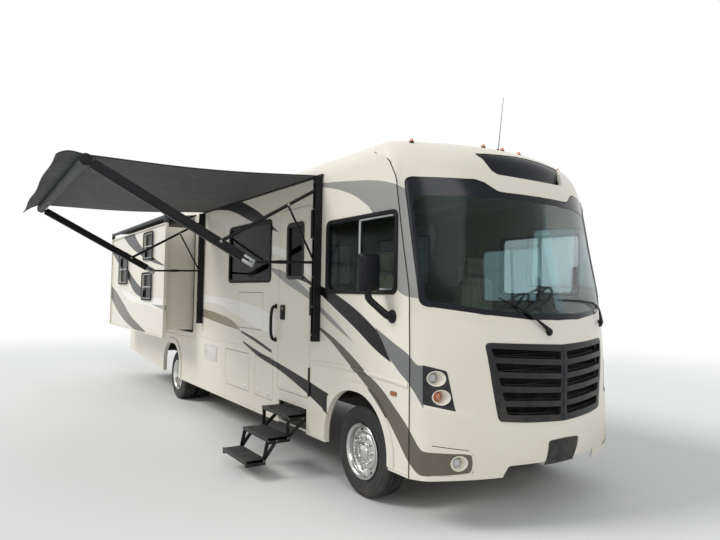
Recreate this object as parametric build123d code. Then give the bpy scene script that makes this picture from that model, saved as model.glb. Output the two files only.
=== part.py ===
import os
from build123d import *

# A petrol motorhome, parked with its awning and its rear slide-out open.
# Millimetres. X runs forward from the front axle, Y to the driver's side, Z up from the ground.

# Driving dimensions
WHEELBASE = 5790
BODY_WIDTH = 2553
BODY_TAIL = -9100
WALL_TOP = 3100
ROOF_CROWN = 3345
SKIRT_BOTTOM = 402
TAIL_SKIRT_BOTTOM = 590
WALL_THICKNESS = 50
FLOOR_TOP = 1170
FLOOR_THICKNESS = 50
TYRE_RADIUS = 419.5
TYRE_WIDTH = 248
WHEEL_INSET = 86.5
TWIN_GAP = 30
RAIL_OUTER = 430
RAIL_WIDTH = 70
RAIL_BOTTOM = 560
RAIL_TOP = 780
DOOR_THICKNESS = 40
PANEL_GAP = 6
GLASS_THICKNESS = 8

HALF_WIDTH = BODY_WIDTH / 2
WALL_INNER = HALF_WIDTH - WALL_THICKNESS
WHEEL_OUTER_FACE = HALF_WIDTH - WHEEL_INSET
FLOOR_BOTTOM = FLOOR_TOP - FLOOR_THICKNESS
REAR_AXLE_X = -WHEELBASE
AXLE_HEIGHT = TYRE_RADIUS

# Cutting shapes run past the body on every side: y, heights and x
OUTSIDE = HALF_WIDTH + 125
BELOW = 300
ABOVE = ROOF_CROWN + 155
AHEAD = 1600
NOSE_START = -200
# A cut through the passenger side wall and its trims
THROUGH_WALL = (-OUTSIDE, -WALL_INNER + 125)

# Front cap sections: height, x on the centreline, x at the corner crease, x where it meets the wall
CORNER_CREASE = HALF_WIDTH - 76.5
NOSE_SECTIONS = [
    (370, 1235, 930, 820),
    (620, 1322, 918, 818),
    (1000, 1333, 905, 815),
    (1400, 1333, 895, 812),
    (1700, 1280, 870, 802),
    (1910, 1240, 838, 795),
    (2350, 1156, 740, 700),
    (2820, 1064, 640, 608),
    (3100, 965, 592, 545),
    (3420, 850, 500, 430),
]
# The seam leaves the corner here and runs back over the top of the wall: x, height
SEAM_OVER_ROOF = [(585, 2914), (500, 3050), (400, 3130), (244, 3170), (200, 3500)]
# The brow above the windshield, seen from the side: x, height
BROW = [(990, 3030), (905, 3150), (750, 3256), (570, 3318), (330, 3345)]
CAP_THICKNESS = 40
CAP_BACK = 100
BROW_START = 2700
# The wall stops this far behind the seam
SEAM_GAP = 3

# Cross-section of the roof: start of the rounded edge, its middle and its end, then the crown
ROOF_EDGE = [(HALF_WIDTH, 3080), (HALF_WIDTH - 55, 3232), (HALF_WIDTH - 187, 3298)]

nodes = {}


def block(x, y, z):
    # A box between a low and a high value on each axis
    size = Box(x[1] - x[0], y[1] - y[0], z[1] - z[0])
    return Pos((x[0] + x[1]) / 2, (y[0] + y[1]) / 2, (z[0] + z[1]) / 2) * size


def out(reach):
    # The y of a point that stands this far out from the passenger side's skin
    return -HALF_WIDTH - reach


def side_plane(x, y, z):
    # A plane that faces the passenger side, with X to its right and Z up
    return Plane(origin=(x, y, z), x_dir=(1, 0, 0), z_dir=(0, -1, 0))


def side_prism(points, y):
    # An outline of x, z points, carried across from y[1] to y[0]
    face = make_face(Polyline(*points, close=True))
    return extrude(side_plane(0, y[1], 0) * face, amount=y[1] - y[0], dir=(0, -1, 0))


def side_opening(x, z, y, radius):
    # A rounded rectangle in a side wall, carried across from y[1] to y[0]
    plane = side_plane((x[0] + x[1]) / 2, y[1], (z[0] + z[1]) / 2)
    face = plane * RectangleRounded(x[1] - x[0], z[1] - z[0], radius)
    return extrude(face, amount=y[1] - y[0], dir=(0, -1, 0))


def front_prism(points, x):
    # An outline of y, z points, carried forward from x[0] to x[1]
    plane = Plane(origin=(x[0], 0, 0), x_dir=(0, 1, 0), z_dir=(1, 0, 0))
    face = make_face(Polyline(*points, close=True))
    return extrude(plane * face, amount=x[1] - x[0], dir=(1, 0, 0))


def rod(start, end, radius):
    # A round bar between two points
    line = Vector(*end) - Vector(*start)
    plane = Plane(origin=start, z_dir=line)
    return plane * Cylinder(radius, line.length, align=(Align.CENTER, Align.CENTER, Align.MIN))


def turned(outline, x, z):
    # Turns an outline of y, radius points about an axle that runs along Y
    plane = Plane(origin=(x, 0, z), x_dir=(0, 1, 0), z_dir=(1, 0, 0))
    face = plane * make_face(Polyline(*outline, close=True))
    return revolve(face, axis=Axis((x, 0, z), (0, 1, 0)))


def other_side(shape):
    return mirror(shape, about=Plane.XZ)


def both_sides(shape):
    # The shape and its mirror image, as one compound of separate solids
    return Compound(solids_of([shape, other_side(shape)]))


def solids_of(shapes):
    return [solid for shape in shapes for solid in shape.solids()]


def grow(span, amount):
    return (span[0] - amount, span[1] + amount)


def group(shapes):
    return Compound(solids_of(shapes))


# Outer shape of the body, set in by any amount

def section_face(inset):
    half = HALF_WIDTH - inset
    edge = [(ROOF_EDGE[0][0] - inset, ROOF_EDGE[0][1])]
    edge.append((ROOF_EDGE[1][0] - 0.7 * inset, ROOF_EDGE[1][1] - 0.7 * inset))
    edge.append((ROOF_EDGE[2][0], ROOF_EDGE[2][1] - inset))
    right = [(-y, z) for y, z in edge]
    lines = [
        Line((-half, BELOW), (half, BELOW)),
        Line((half, BELOW), edge[0]),
        ThreePointArc(*edge),
        ThreePointArc(edge[2], (0, ROOF_CROWN - inset), right[2]),
        ThreePointArc(right[2], right[1], right[0]),
        Line(right[0], (-half, BELOW)),
    ]
    return make_face(Curve() + lines)


def section_prism(x, inset):
    plane = Plane(origin=(x[0], 0, 0), x_dir=(0, 1, 0), z_dir=(1, 0, 0))
    return extrude(plane * section_face(inset), amount=x[1] - x[0], dir=(1, 0, 0))


def nose_section(height, nose_x, corner_x, seam_x, inset):
    half = HALF_WIDTH - inset
    crease = CORNER_CREASE - inset / 2
    back = CAP_BACK - inset
    nose_x, corner_x, seam_x = nose_x - inset, corner_x - inset, seam_x - inset
    lines = [
        Line((back, -half), (seam_x, -half)),
        Line((seam_x, -half), (corner_x, -crease)),
        ThreePointArc((corner_x, -crease), (nose_x, 0), (corner_x, crease)),
        Line((corner_x, crease), (seam_x, half)),
        Line((seam_x, half), (back, half)),
        Line((back, half), (back, -half)),
    ]
    return Plane.XY.offset(height) * make_face(Curve() + lines)


def nose_body(inset):
    shape = loft([nose_section(*row, inset) for row in NOSE_SECTIONS], ruled=True)
    shape = shape & section_prism((NOSE_START, AHEAD), inset)
    brow = [(x - inset, z - inset) for x, z in BROW]
    below_brow = [(NOSE_START, BELOW), (AHEAD, BELOW), (AHEAD, BROW_START)]
    brow_cut = below_brow + brow + [(NOSE_START, ROOF_CROWN - inset + 1)]
    return shape & side_prism(brow_cut, (-HALF_WIDTH, HALF_WIDTH))


def seam_line(shift):
    # The line between front cap and walls, from the skirt up and back over the roof
    foot_of_roof = SEAM_OVER_ROOF[0][1]
    seam = [(row[3] + shift, row[0]) for row in NOSE_SECTIONS if row[0] < foot_of_roof]
    return seam + [(x + shift, z) for x, z in SEAM_OVER_ROOF]


def ahead_of_seam():
    return side_prism([(AHEAD, BELOW)] + seam_line(0) + [(AHEAD, ABOVE)], (-HALF_WIDTH, HALF_WIDTH))


def behind_seam():
    tail = BODY_TAIL - 100
    return side_prism([(tail, BELOW)] + seam_line(-SEAM_GAP) + [(tail, ABOVE)], (-HALF_WIDTH, HALF_WIDTH))


OUTER_NOSE = nose_body(0)


def nose_skin(outside, inside, outline):
    # A sheet that follows the front cap between two depths, cut to an outline of y, z points
    whole = OUTER_NOSE if outside == 0 else nose_body(outside)
    return (whole - nose_body(inside)) & front_prism(outline, (0, AHEAD))


def scaled_outline(points, inset):
    # Moves each y, z point toward the outline's middle by an amount on each axis
    middle_y = sum(p[0] for p in points) / len(points)
    middle_z = sum(p[1] for p in points) / len(points)
    return [(y - inset * sign(y - middle_y), z - inset * sign(z - middle_z)) for y, z in points]


def sign(value):
    return (value > 0) - (value < 0)


def symmetric(points):
    # A half outline on the passenger side, closed with its mirror image
    return points + [(-y, z) for y, z in reversed(points) if y != 0]


# Outlines on the front cap: y, height
GLASS_EDGE = CORNER_CREASE - 20
WINDSHIELD_HALF = [
    (0, 2793), (-470, 2798), (-590, 2875), (-660, 2900), (60 - GLASS_EDGE, 2903), (-GLASS_EDGE, 2850),
    (-GLASS_EDGE, 1865), (80 - GLASS_EDGE, 1787), (-800, 1740), (-300, 1692), (0, 1687),
]
GRILLE_HALF = [(0, 1480), (-775, 1508), (-665, 868), (0, 830)]
BEZEL_EDGE = CORNER_CREASE - 4
BEZEL = [(-BEZEL_EDGE, 1318), (146 - BEZEL_EDGE, 1276), (204 - BEZEL_EDGE, 954), (-BEZEL_EDGE, 1000)]
SCOOP_HALF = [(0, 3190), (-590, 3160), (-490, 3000), (-440, 2958), (0, 2945)]
# Lamps set into the cap: y, height, radius
LAMP_RADIUS = 62
HEAD_LAMPS = [(76 - BEZEL_EDGE, 1213, LAMP_RADIUS), (109 - BEZEL_EDGE, 1063, LAMP_RADIUS)]
FOG_LAMPS = [(232 - CORNER_CREASE, 541, LAMP_RADIUS)]
LAMP_GAP = 5
LAMP_START = 700
BUMPER_NOTCH_HALF = 560
BUMPER_CENTRE_BOTTOM = 500
# How far the pieces in the cap's openings lie below its skin, and their gap at the edge
FITTING_GAP = 3
WINDSHIELD_DEPTH = 8
GRILLE_DEPTH = 12
SCOOP_DEPTH = 14
BEZEL_DEPTH = 6
LENS_DEPTH = 10
# Grille slots: two columns beside a post, wider toward the top
GRILLE_SLOTS = 5
GRILLE_FIRST_SLOT = 887
GRILLE_PITCH = 116.5
GRILLE_SLOT_HEIGHT = 66
GRILLE_POST = 45
GRILLE_SLOT_WIDTH = 555
GRILLE_SLOT_GROWTH = 28


def lamp_hole(y, z, radius):
    return rod((LAMP_START, y, z), (AHEAD, y, z), radius)


def front_cap():
    shell = (OUTER_NOSE - nose_body(CAP_THICKNESS)) & ahead_of_seam()
    for outline in (symmetric(WINDSHIELD_HALF), symmetric(GRILLE_HALF), symmetric(SCOOP_HALF)):
        shell -= front_prism(outline, (CAP_BACK, AHEAD))
    for outline in (BEZEL, [(-y, z) for y, z in BEZEL]):
        shell -= front_prism(outline, (LAMP_START, AHEAD))
    for y, z, radius in FOG_LAMPS:
        shell -= lamp_hole(y, z, radius + LAMP_GAP)
        shell -= lamp_hole(-y, z, radius + LAMP_GAP)
    notch = (-BUMPER_NOTCH_HALF, BUMPER_NOTCH_HALF)
    return shell - block((CAP_BACK, AHEAD), notch, (BELOW, BUMPER_CENTRE_BOTTOM))


def front_fittings():
    pane = scaled_outline(symmetric(WINDSHIELD_HALF), FITTING_GAP)
    nodes["windshield"] = nose_skin(WINDSHIELD_DEPTH, WINDSHIELD_DEPTH + GLASS_THICKNESS, pane)
    grille = nose_skin(GRILLE_DEPTH, CAP_THICKNESS, scaled_outline(symmetric(GRILLE_HALF), FITTING_GAP))
    for side in (-1, 1):
        for row in range(GRILLE_SLOTS):
            low = GRILLE_FIRST_SLOT + row * GRILLE_PITCH
            width = GRILLE_SLOT_WIDTH + row * GRILLE_SLOT_GROWTH
            span = sorted((side * GRILLE_POST, side * (GRILLE_POST + width)))
            grille -= block((LAMP_START, AHEAD), span, (low, low + GRILLE_SLOT_HEIGHT))
    nodes["grille"] = grille
    scoop = nose_skin(SCOOP_DEPTH, CAP_THICKNESS, scaled_outline(symmetric(SCOOP_HALF), FITTING_GAP))
    bezel = nose_skin(BEZEL_DEPTH, CAP_THICKNESS, scaled_outline(BEZEL, FITTING_GAP))
    lenses = []
    for y, z, radius in HEAD_LAMPS:
        bezel -= lamp_hole(y, z, radius + LAMP_GAP)
    for y, z, radius in HEAD_LAMPS + FOG_LAMPS:
        lens = nose_body(LENS_DEPTH) - nose_body(CAP_THICKNESS)
        lenses.append(lens & lamp_hole(y, z, radius))
    nodes["cap_inserts"] = group([both_sides(bezel), scoop])
    nodes["front_lamps"] = both_sides(group(lenses))


# Wheel arches in the skirts: x span, top height and corner radius
FRONT_ARCH = ((-520, 535), 986, 500)
REAR_ARCH = ((REAR_AXLE_X - 560, REAR_AXLE_X + 390), 970, 360)
ARCH_FOOT = -500
FLARE_WIDTH = 86
FLARE_DEPTH = 14
FLARE_FOOT = SKIRT_BOTTOM + 30
REAR_SKIRT_BOTTOM = SKIRT_BOTTOM + 28
WALL_FRONT = 900

# Openings in both side walls: x span, height span, corner radius
CAB_WINDOW = ((-536, 615), (1905, 2600), 60)
LIVING_WINDOW = ((-3210, -1880), (2025, 2757), 60)
# Driver's side windows, and the rear window as a y span
LEFT_WINDOWS = [((-4900, -4000), (2025, 2757), 60), ((-7600, -6700), (2025, 2757), 60)]
REAR_WINDOW = ((-600, 600), (2150, 2700), 60)
ENTRY_DOOR = ((-1641, -860), (777, 2835), 70)
DOOR_WINDOW = ((-1430, -1035), (2050, 2660), 60)
# Luggage doors and hatch, hinged along their top edges
FRONT_LOCKER = ((-2279, -1749), (612, 1112), 25)
REAR_LOCKER = ((-3300, -2455), (615, 1100), 25)
TV_HATCH = ((-2865, -2082), (1416, 1888), 25)
LOCKER_DOORS = {"front_locker_door": FRONT_LOCKER, "rear_locker_door": REAR_LOCKER, "tv_hatch": TV_HATCH}
# Louvred service panel, fixed
SERVICE_PANEL = ((-4160, -3634), (865, 1100), 20)
SERVICE_PANEL_GAP = 2
SERVICE_PANEL_PROUD = 8


def arch_cut(arch, extra):
    span, top, radius = arch
    return side_opening(grow(span, extra), (ARCH_FOOT, top + extra), THROUGH_WALL, radius + extra)


def plain_wall():
    # A side wall on the passenger side with its wheel arches and flares
    skirt = [(REAR_ARCH[0][0], REAR_SKIRT_BOTTOM), (BODY_TAIL, TAIL_SKIRT_BOTTOM), (BODY_TAIL, WALL_TOP)]
    outline = [(WALL_FRONT, SKIRT_BOTTOM), (REAR_ARCH[0][1], SKIRT_BOTTOM)] + skirt + [(WALL_FRONT, WALL_TOP)]
    wall = side_prism(outline, (-HALF_WIDTH, -WALL_INNER)) & behind_seam()
    flares = []
    for arch in (FRONT_ARCH, REAR_ARCH):
        wall -= arch_cut(arch, 0)
        ring = arch_cut(arch, FLARE_WIDTH) - arch_cut(arch, 0)
        flare_z = (FLARE_FOOT, arch[1] + FLARE_WIDTH + 1)
        flares.append(ring & block((BODY_TAIL, WALL_FRONT), (out(FLARE_DEPTH), out(0)), flare_z))
    return wall + flares


def opening_cut(opening):
    # Cuts one of the openings above right through the passenger side wall
    x, z, radius = opening
    return side_opening(x, z, THROUGH_WALL, radius)


def side_walls():
    wall = plain_wall()
    for opening in (CAB_WINDOW, LIVING_WINDOW):
        wall -= opening_cut(opening)
    left = wall - opening_cut(REAR_LOCKER)
    for opening in LEFT_WINDOWS:
        left -= opening_cut(opening)
    nodes["left_wall"] = other_side(left)
    for opening in (ENTRY_DOOR, FRONT_LOCKER, REAR_LOCKER, TV_HATCH, SERVICE_PANEL, SLIDE_HOLE):
        wall -= opening_cut(opening)
    step_hole = block(grow(STEP_X, STEP_GAP), THROUGH_WALL, (BELOW, STEPS[0][0] + STEP_GAP * 2))
    nodes["right_wall"] = wall - step_hole
    x, z, radius = SERVICE_PANEL
    x, z = grow(x, -SERVICE_PANEL_GAP), grow(z, -SERVICE_PANEL_GAP)
    nodes["service_panel"] = side_opening(x, z, (out(SERVICE_PANEL_PROUD), -WALL_INNER), radius)


# Slide-out room at the rear of the passenger side, open. It runs in along +Y
SLIDE_TRAVEL = 430
# How far it stands out when it is run in, and how far in it still reaches when it is out
SLIDE_PROUD = 29.5
SLIDE_REACH_IN = 126.5
SLIDE_OUTER_Y = out(SLIDE_TRAVEL + SLIDE_PROUD)
SLIDE_BOX_X = (-8850, -4795)
SLIDE_BOX_Z = (1270, 2900)
SLIDE_WALL = 40
SLIDE_GAP = 22
SLIDE_CORNER = 20
SLIDE_HOLE = (grow(SLIDE_BOX_X, SLIDE_GAP), grow(SLIDE_BOX_Z, SLIDE_GAP), SLIDE_CORNER)
SLIDE_INNER_Y = -HALF_WIDTH + SLIDE_REACH_IN
FASCIA_X = (-8900, -4745)
FASCIA_Z = (1150, 2960)
FASCIA_THICKNESS = 22
# Slide-out windows: x span, height span, corner radius
SLIDE_WINDOWS = [
    ((-6120, -5510), (2425, 2880), 50),
    ((-6170, -5530), (1730, 2180), 50),
    ((-8100, -7360), (2015, 2595), 50),
]
# The cloth over it runs from a rail on the wall to a roller: y and height of both
SLIDE_TOP_ROLLER_RADIUS = 30
SLIDE_TOP_ROLLER = (SLIDE_OUTER_Y - 10, 3062)
TOPPER_RAIL = (out(14), 3120)
TOPPER_RAIL_HEIGHT = 18
TOPPER_INSET = 90
ROLLER_INSET = 60
ROLLER_FOOT_INSET = 20
ROLLER_FOOT_LENGTH = 40
ROLLER_FOOT_Y = (-26, 32)
CLOTH = 3


def slide_out():
    box_y = (SLIDE_OUTER_Y + FASCIA_THICKNESS, SLIDE_INNER_Y)
    room = block(SLIDE_BOX_X, box_y, SLIDE_BOX_Z)
    hollow_y = (SLIDE_OUTER_Y + FASCIA_THICKNESS + SLIDE_WALL, SLIDE_INNER_Y + 10)
    room -= block(grow(SLIDE_BOX_X, -SLIDE_WALL), hollow_y, grow(SLIDE_BOX_Z, -SLIDE_WALL))
    fascia_y = (SLIDE_OUTER_Y, SLIDE_OUTER_Y + FASCIA_THICKNESS)
    fascia = block(FASCIA_X, fascia_y, FASCIA_Z)
    cut_y = (SLIDE_OUTER_Y - SLIDE_WALL, box_y[0] + SLIDE_WALL * 2)
    panes = []
    for x, z, radius in SLIDE_WINDOWS:
        room -= side_opening(x, z, cut_y, radius)
        fascia -= side_opening(x, z, cut_y, radius)
        frame, pane = window(x, z, radius, SLIDE_OUTER_Y, FASCIA_THICKNESS - 2)
        fascia += frame
        panes.append(pane)
    nodes["slide_room"] = room
    nodes["slide_fascia"] = fascia
    nodes["slide_panes"] = group(panes)
    y, z = SLIDE_TOP_ROLLER
    roller = rod((FASCIA_X[0] + ROLLER_INSET, y, z), (FASCIA_X[1] - ROLLER_INSET, y, z), SLIDE_TOP_ROLLER_RADIUS)
    feet = []
    for x in (FASCIA_X[0] + ROLLER_FOOT_INSET, FASCIA_X[1] - ROLLER_FOOT_INSET - ROLLER_FOOT_LENGTH):
        foot_y = (y + ROLLER_FOOT_Y[0], y + ROLLER_FOOT_Y[1])
        foot_z = (FASCIA_Z[1], z + SLIDE_TOP_ROLLER_RADIUS + 4)
        feet.append(block((x, x + ROLLER_FOOT_LENGTH), foot_y, foot_z))
    nodes["topper_roller"] = group([roller + feet])
    back = TOPPER_RAIL[0]
    cloth_x = grow(FASCIA_X, -TOPPER_INSET)
    top = z + SLIDE_TOP_ROLLER_RADIUS + CLOTH
    edge = [(back, TOPPER_RAIL[1]), (back, TOPPER_RAIL[1] + CLOTH), (y, top + CLOTH), (y, top)]
    nodes["topper_cloth"] = front_prism(edge, cloth_x)


# Windows: a frame ring that laps the skin, and a pane inside it
FRAME_LAP = 16
FRAME_BAR = 22
FRAME_PROUD = 8
FRAME_GAP = 1
PANE_DEPTH = 18


def window(x, z, radius, skin, wall_depth):
    # Frame and pane of an opening whose outer skin is at y = skin, on the passenger side
    lap = side_opening(grow(x, FRAME_LAP), grow(z, FRAME_LAP), (skin - FRAME_PROUD, skin), radius + FRAME_LAP)
    body_x, body_z = grow(x, -FRAME_GAP), grow(z, -FRAME_GAP)
    body = side_opening(body_x, body_z, (skin - FRAME_PROUD, skin + wall_depth), radius - FRAME_GAP)
    inner_x, inner_z = grow(x, -FRAME_BAR), grow(z, -FRAME_BAR)
    clear_y = (skin - FRAME_PROUD * 2, skin + wall_depth * 2)
    clear = side_opening(inner_x, inner_z, clear_y, radius - FRAME_BAR / 2)
    pane_y = (skin + PANE_DEPTH - GLASS_THICKNESS, skin + PANE_DEPTH)
    pane = side_opening(inner_x, inner_z, pane_y, radius - FRAME_BAR / 2)
    return lap + body - clear, pane


def windows():
    frames, panes = [], []
    for x, z, radius in (CAB_WINDOW, LIVING_WINDOW):
        frame, pane = window(x, z, radius, -HALF_WIDTH, WALL_THICKNESS)
        frames += [frame, other_side(frame)]
        panes += [pane, other_side(pane)]
    for x, z, radius in LEFT_WINDOWS:
        frame, pane = window(x, z, radius, -HALF_WIDTH, WALL_THICKNESS)
        frames.append(other_side(frame))
        panes.append(other_side(pane))
    y, z, radius = REAR_WINDOW
    frame, pane = window(y, z, radius, BODY_TAIL, WALL_THICKNESS)
    frames.append(Rot(0, 0, -90) * frame)
    panes.append(Rot(0, 0, -90) * pane)
    nodes["window_frames"] = group(frames)
    nodes["window_panes"] = group(panes)


def doors():
    skin = (-HALF_WIDTH, -HALF_WIDTH + DOOR_THICKNESS)
    x, z = grow(ENTRY_DOOR[0], -PANEL_GAP), grow(ENTRY_DOOR[1], -PANEL_GAP)
    door = side_opening(x, z, skin, ENTRY_DOOR[2] - PANEL_GAP)
    door -= opening_cut(DOOR_WINDOW)
    frame, pane = window(*DOOR_WINDOW, -HALF_WIDTH, DOOR_THICKNESS)
    nodes["entry_door"] = door + frame
    nodes["entry_door_pane"] = pane
    for name, opening in LOCKER_DOORS.items():
        nodes[name] = locker_door(opening)
    nodes["left_locker_door"] = other_side(locker_door(REAR_LOCKER))


def locker_door(opening):
    x, z, radius = opening
    skin = (-HALF_WIDTH, -HALF_WIDTH + DOOR_THICKNESS)
    return side_opening(grow(x, -PANEL_GAP), grow(z, -PANEL_GAP), skin, radius - PANEL_GAP)


# Rear wall, let in between the side walls, and its bumper
TAIL_GAP = 1
BUMPER_X = (BODY_TAIL - 50, BODY_TAIL + 10)
BUMPER_HALF = HALF_WIDTH - 56.5
BUMPER_Z = (600, 800)
BUMPER_RECESS_HALF = 200
BUMPER_RECESS_TOP = 700


def roof_and_tail():
    roof_x = (BODY_TAIL, WALL_FRONT)
    roof = section_prism(roof_x, 0) - section_prism(grow(roof_x, 1), WALL_THICKNESS)
    roof &= block(roof_x, (-OUTSIDE, OUTSIDE), (WALL_TOP, ABOVE))
    nodes["roof"] = roof & behind_seam()
    tail_x = (BODY_TAIL, BODY_TAIL + WALL_THICKNESS)
    tail = section_prism(tail_x, WALL_THICKNESS + TAIL_GAP)
    tail &= block(tail_x, (-OUTSIDE, OUTSIDE), (TAIL_SKIRT_BOTTOM, ABOVE))
    y, z, radius = REAR_WINDOW
    hole = side_opening(y, z, grow(tail_x, WALL_THICKNESS), radius)
    bumper = block(BUMPER_X, (-BUMPER_HALF, BUMPER_HALF), BUMPER_Z)
    recess_z = (BUMPER_Z[0] - 1, BUMPER_RECESS_TOP)
    bumper -= block(grow(BUMPER_X, 1), (-BUMPER_RECESS_HALF, BUMPER_RECESS_HALF), recess_z)
    nodes["rear_wall"] = tail - Rot(0, 0, -90) * hole + bumper


# Floor with the entry stairwell, and the lockers hung below it
STAIR_X = grow(ENTRY_DOOR[0], -8)
STAIR_DEPTH = 480
STAIR_FLOOR = 752
STAIR_TREAD = 960
STAIR_TREAD_THICKNESS = 30
# Gap at the seams between the stairwell's plates
STAIR_SEAM = 0.5
SHEET = 12
# The floor narrows behind the front cap
FLOOR_FRONT = 780
FLOOR_NOSE = 60
FLOOR_NOSE_GAP = 30
FLOOR_BEARER_END = 100
LOCKER_DEPTH = 700
LOCKER_SIDE_GAP = 4


def tub(x, y, z):
    # An open-topped and open-fronted sheet box
    return block(x, y, z) - block(grow(x, -SHEET), (y[0] - 1, y[1] - SHEET), (z[0] + SHEET, z[1] + 1))


def floor():
    back = BODY_TAIL + WALL_THICKNESS
    floor_z = (FLOOR_BOTTOM, FLOOR_TOP)
    front_y = CORNER_CREASE - FLOOR_NOSE_GAP
    deck = block((back, FLOOR_FRONT - FLOOR_NOSE), (-WALL_INNER, WALL_INNER), floor_z)
    deck += block((FLOOR_FRONT - FLOOR_BEARER_END, FLOOR_FRONT), (-front_y, front_y), floor_z)
    stair_y = (-WALL_INNER, -WALL_INNER + STAIR_DEPTH)
    deck -= block(STAIR_X, (stair_y[0] - 1, stair_y[1]), grow(floor_z, 1))
    for side in (-1, 1):
        y = sorted((side * (RAIL_OUTER - RAIL_WIDTH), side * RAIL_OUTER))
        deck += block((back, FLOOR_FRONT - FLOOR_BEARER_END), y, (OUTRIGGER_TOP, FLOOR_BOTTOM))
    nodes["floor"] = deck
    wall_z = (STAIR_FLOOR + SHEET + STAIR_SEAM, FLOOR_TOP)
    end_y = stair_y[1] - SHEET
    inside_x = grow(STAIR_X, -SHEET - STAIR_SEAM)
    tread_y = (stair_y[1] - STAIR_DEPTH / 2, end_y - STAIR_SEAM)
    nodes["stairwell"] = group([
        block(STAIR_X, stair_y, (STAIR_FLOOR, STAIR_FLOOR + SHEET)),
        block((STAIR_X[0], STAIR_X[0] + SHEET), stair_y, wall_z),
        block((STAIR_X[1] - SHEET, STAIR_X[1]), stair_y, wall_z),
        block(inside_x, (end_y, stair_y[1]), wall_z),
        block(inside_x, tread_y, (STAIR_TREAD - STAIR_TREAD_THICKNESS, STAIR_TREAD)),
    ])


def lockers():
    bays = []
    for x, z, radius in (FRONT_LOCKER, REAR_LOCKER):
        y = (-WALL_INNER, -WALL_INNER + LOCKER_DEPTH)
        bays.append(tub(grow(x, SHEET + LOCKER_SIDE_GAP), y, (z[0] - SHEET, FLOOR_BOTTOM)))
    nodes["lockers"] = group(bays + [other_side(bays[-1])])


# Chassis
OUTRIGGER_TOP = 900
OUTRIGGER_LENGTH = 60
OUTRIGGER_REACH = HALF_WIDTH - 96.5
CHASSIS_FRONT = 900
CHASSIS_TAIL = BODY_TAIL + 60
# Cross members on the rails. The first is short, between the front cap's sides
FRONT_CROSS_MEMBER = 800
OUTRIGGERS = [-740, -1695, -2367, -3400, -4300, -5150, -6480, -7500, -8500, -9000]
RECEIVER_X = (BODY_TAIL - 80, BODY_TAIL + 200)
RECEIVER_BAR_X = (CHASSIS_TAIL + 40, CHASSIS_TAIL + 100)
RECEIVER_OUTER = 76
RECEIVER_BORE = 51
RECEIVER_PIN_RADIUS = 8
RECEIVER_PIN_X = BODY_TAIL - 30
RECEIVER_Z = 500


def chassis():
    rail_y = (-RAIL_OUTER, RAIL_WIDTH - RAIL_OUTER)
    nodes["chassis_rails"] = both_sides(block((CHASSIS_TAIL, CHASSIS_FRONT), rail_y, (RAIL_BOTTOM, RAIL_TOP)))
    members = []
    for x in [FRONT_CROSS_MEMBER] + OUTRIGGERS:
        reach = RAIL_OUTER if x == FRONT_CROSS_MEMBER else OUTRIGGER_REACH
        span = grow((x, x), OUTRIGGER_LENGTH / 2)
        members.append(block(span, (-reach, reach), (RAIL_TOP, OUTRIGGER_TOP)))
    nodes["outriggers"] = group(members)
    half, bore = RECEIVER_OUTER / 2, RECEIVER_BORE / 2
    hitch = block(RECEIVER_X, (-half, half), (RECEIVER_Z - half, RECEIVER_Z + half))
    hitch -= block(grow(RECEIVER_X, 1), (-bore, bore), (RECEIVER_Z - bore, RECEIVER_Z + bore))
    hitch += block(RECEIVER_BAR_X, (-RAIL_OUTER, RAIL_OUTER), (RECEIVER_Z + half, RAIL_BOTTOM))
    pin_y = RECEIVER_OUTER
    hitch -= rod((RECEIVER_PIN_X, -pin_y, RECEIVER_Z), (RECEIVER_PIN_X, pin_y, RECEIVER_Z), RECEIVER_PIN_RADIUS)
    nodes["hitch"] = hitch


# Engine and the line of shafts behind it: x, height and radius along its run
ENGINE_X = (-300, 650)
ENGINE_HALF = 300
ENGINE_BOTTOM = RAIL_BOTTOM + 60
ENGINE_HEADROOM = 10
GEARBOX = ((-310, 690), (-880, 690), 75)
TAIL_HOUSING = ((-860, 682), (-1040, 660), 55)
SHAFT = ((-1040, 660), (REAR_AXLE_X + 190, AXLE_HEIGHT + 20), 45)
# Tanks under the floor: x span, y span, height span
FUEL_TANK = ((-7450, -6560), (-330, 330), (RAIL_BOTTOM - 60, RAIL_TOP - 10))
WASTE_TANK = ((-5020, -4360), (RAIL_OUTER + 30, OUTRIGGER_REACH - 30), (RAIL_BOTTOM + 40, RAIL_TOP - 5))


def engine_and_drive():
    engine_z = (ENGINE_BOTTOM, FLOOR_BOTTOM - ENGINE_HEADROOM)
    nodes["engine"] = block(ENGINE_X, (-ENGINE_HALF, ENGINE_HALF), engine_z)
    shafts = []
    for start, end, radius in (GEARBOX, TAIL_HOUSING, SHAFT):
        shafts.append(rod((start[0], 0, start[1]), (end[0], 0, end[1]), radius))
    nodes["drive_line"] = shafts[0] + shafts[1] + shafts[2]
    nodes["tanks"] = group([block(*FUEL_TANK), block(*WASTE_TANK)])


# Axles and wheels
KINGPIN_INSET = 290
KINGPIN_Y = WHEEL_OUTER_FACE - KINGPIN_INSET
KINGPIN_RADIUS = 22
KINGPIN_FIT = 0.5
# Front beam: its middle, the upturned ends and the eyes for the kingpins
BEAM_HALF = 50
BEAM_Z = (320, 400)
BEAM_INSET = 140
BEAM_ARM_HALF = 45
BEAM_ARM_Z = (345, AXLE_HEIGHT + 40)
BEAM_ARM_Y = (KINGPIN_Y - 160, KINGPIN_Y - 35)
BEAM_EYE_RADIUS = 45
BEAM_EYE_HALF = 75
# Rear axle
REAR_TUBE_RADIUS = 75
REAR_TUBE_GAP = 20
REAR_PUMPKIN_RADIUS = 170
REAR_SPINDLE_RADIUS = 50
REAR_SPINDLE_INSET = 200
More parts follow.
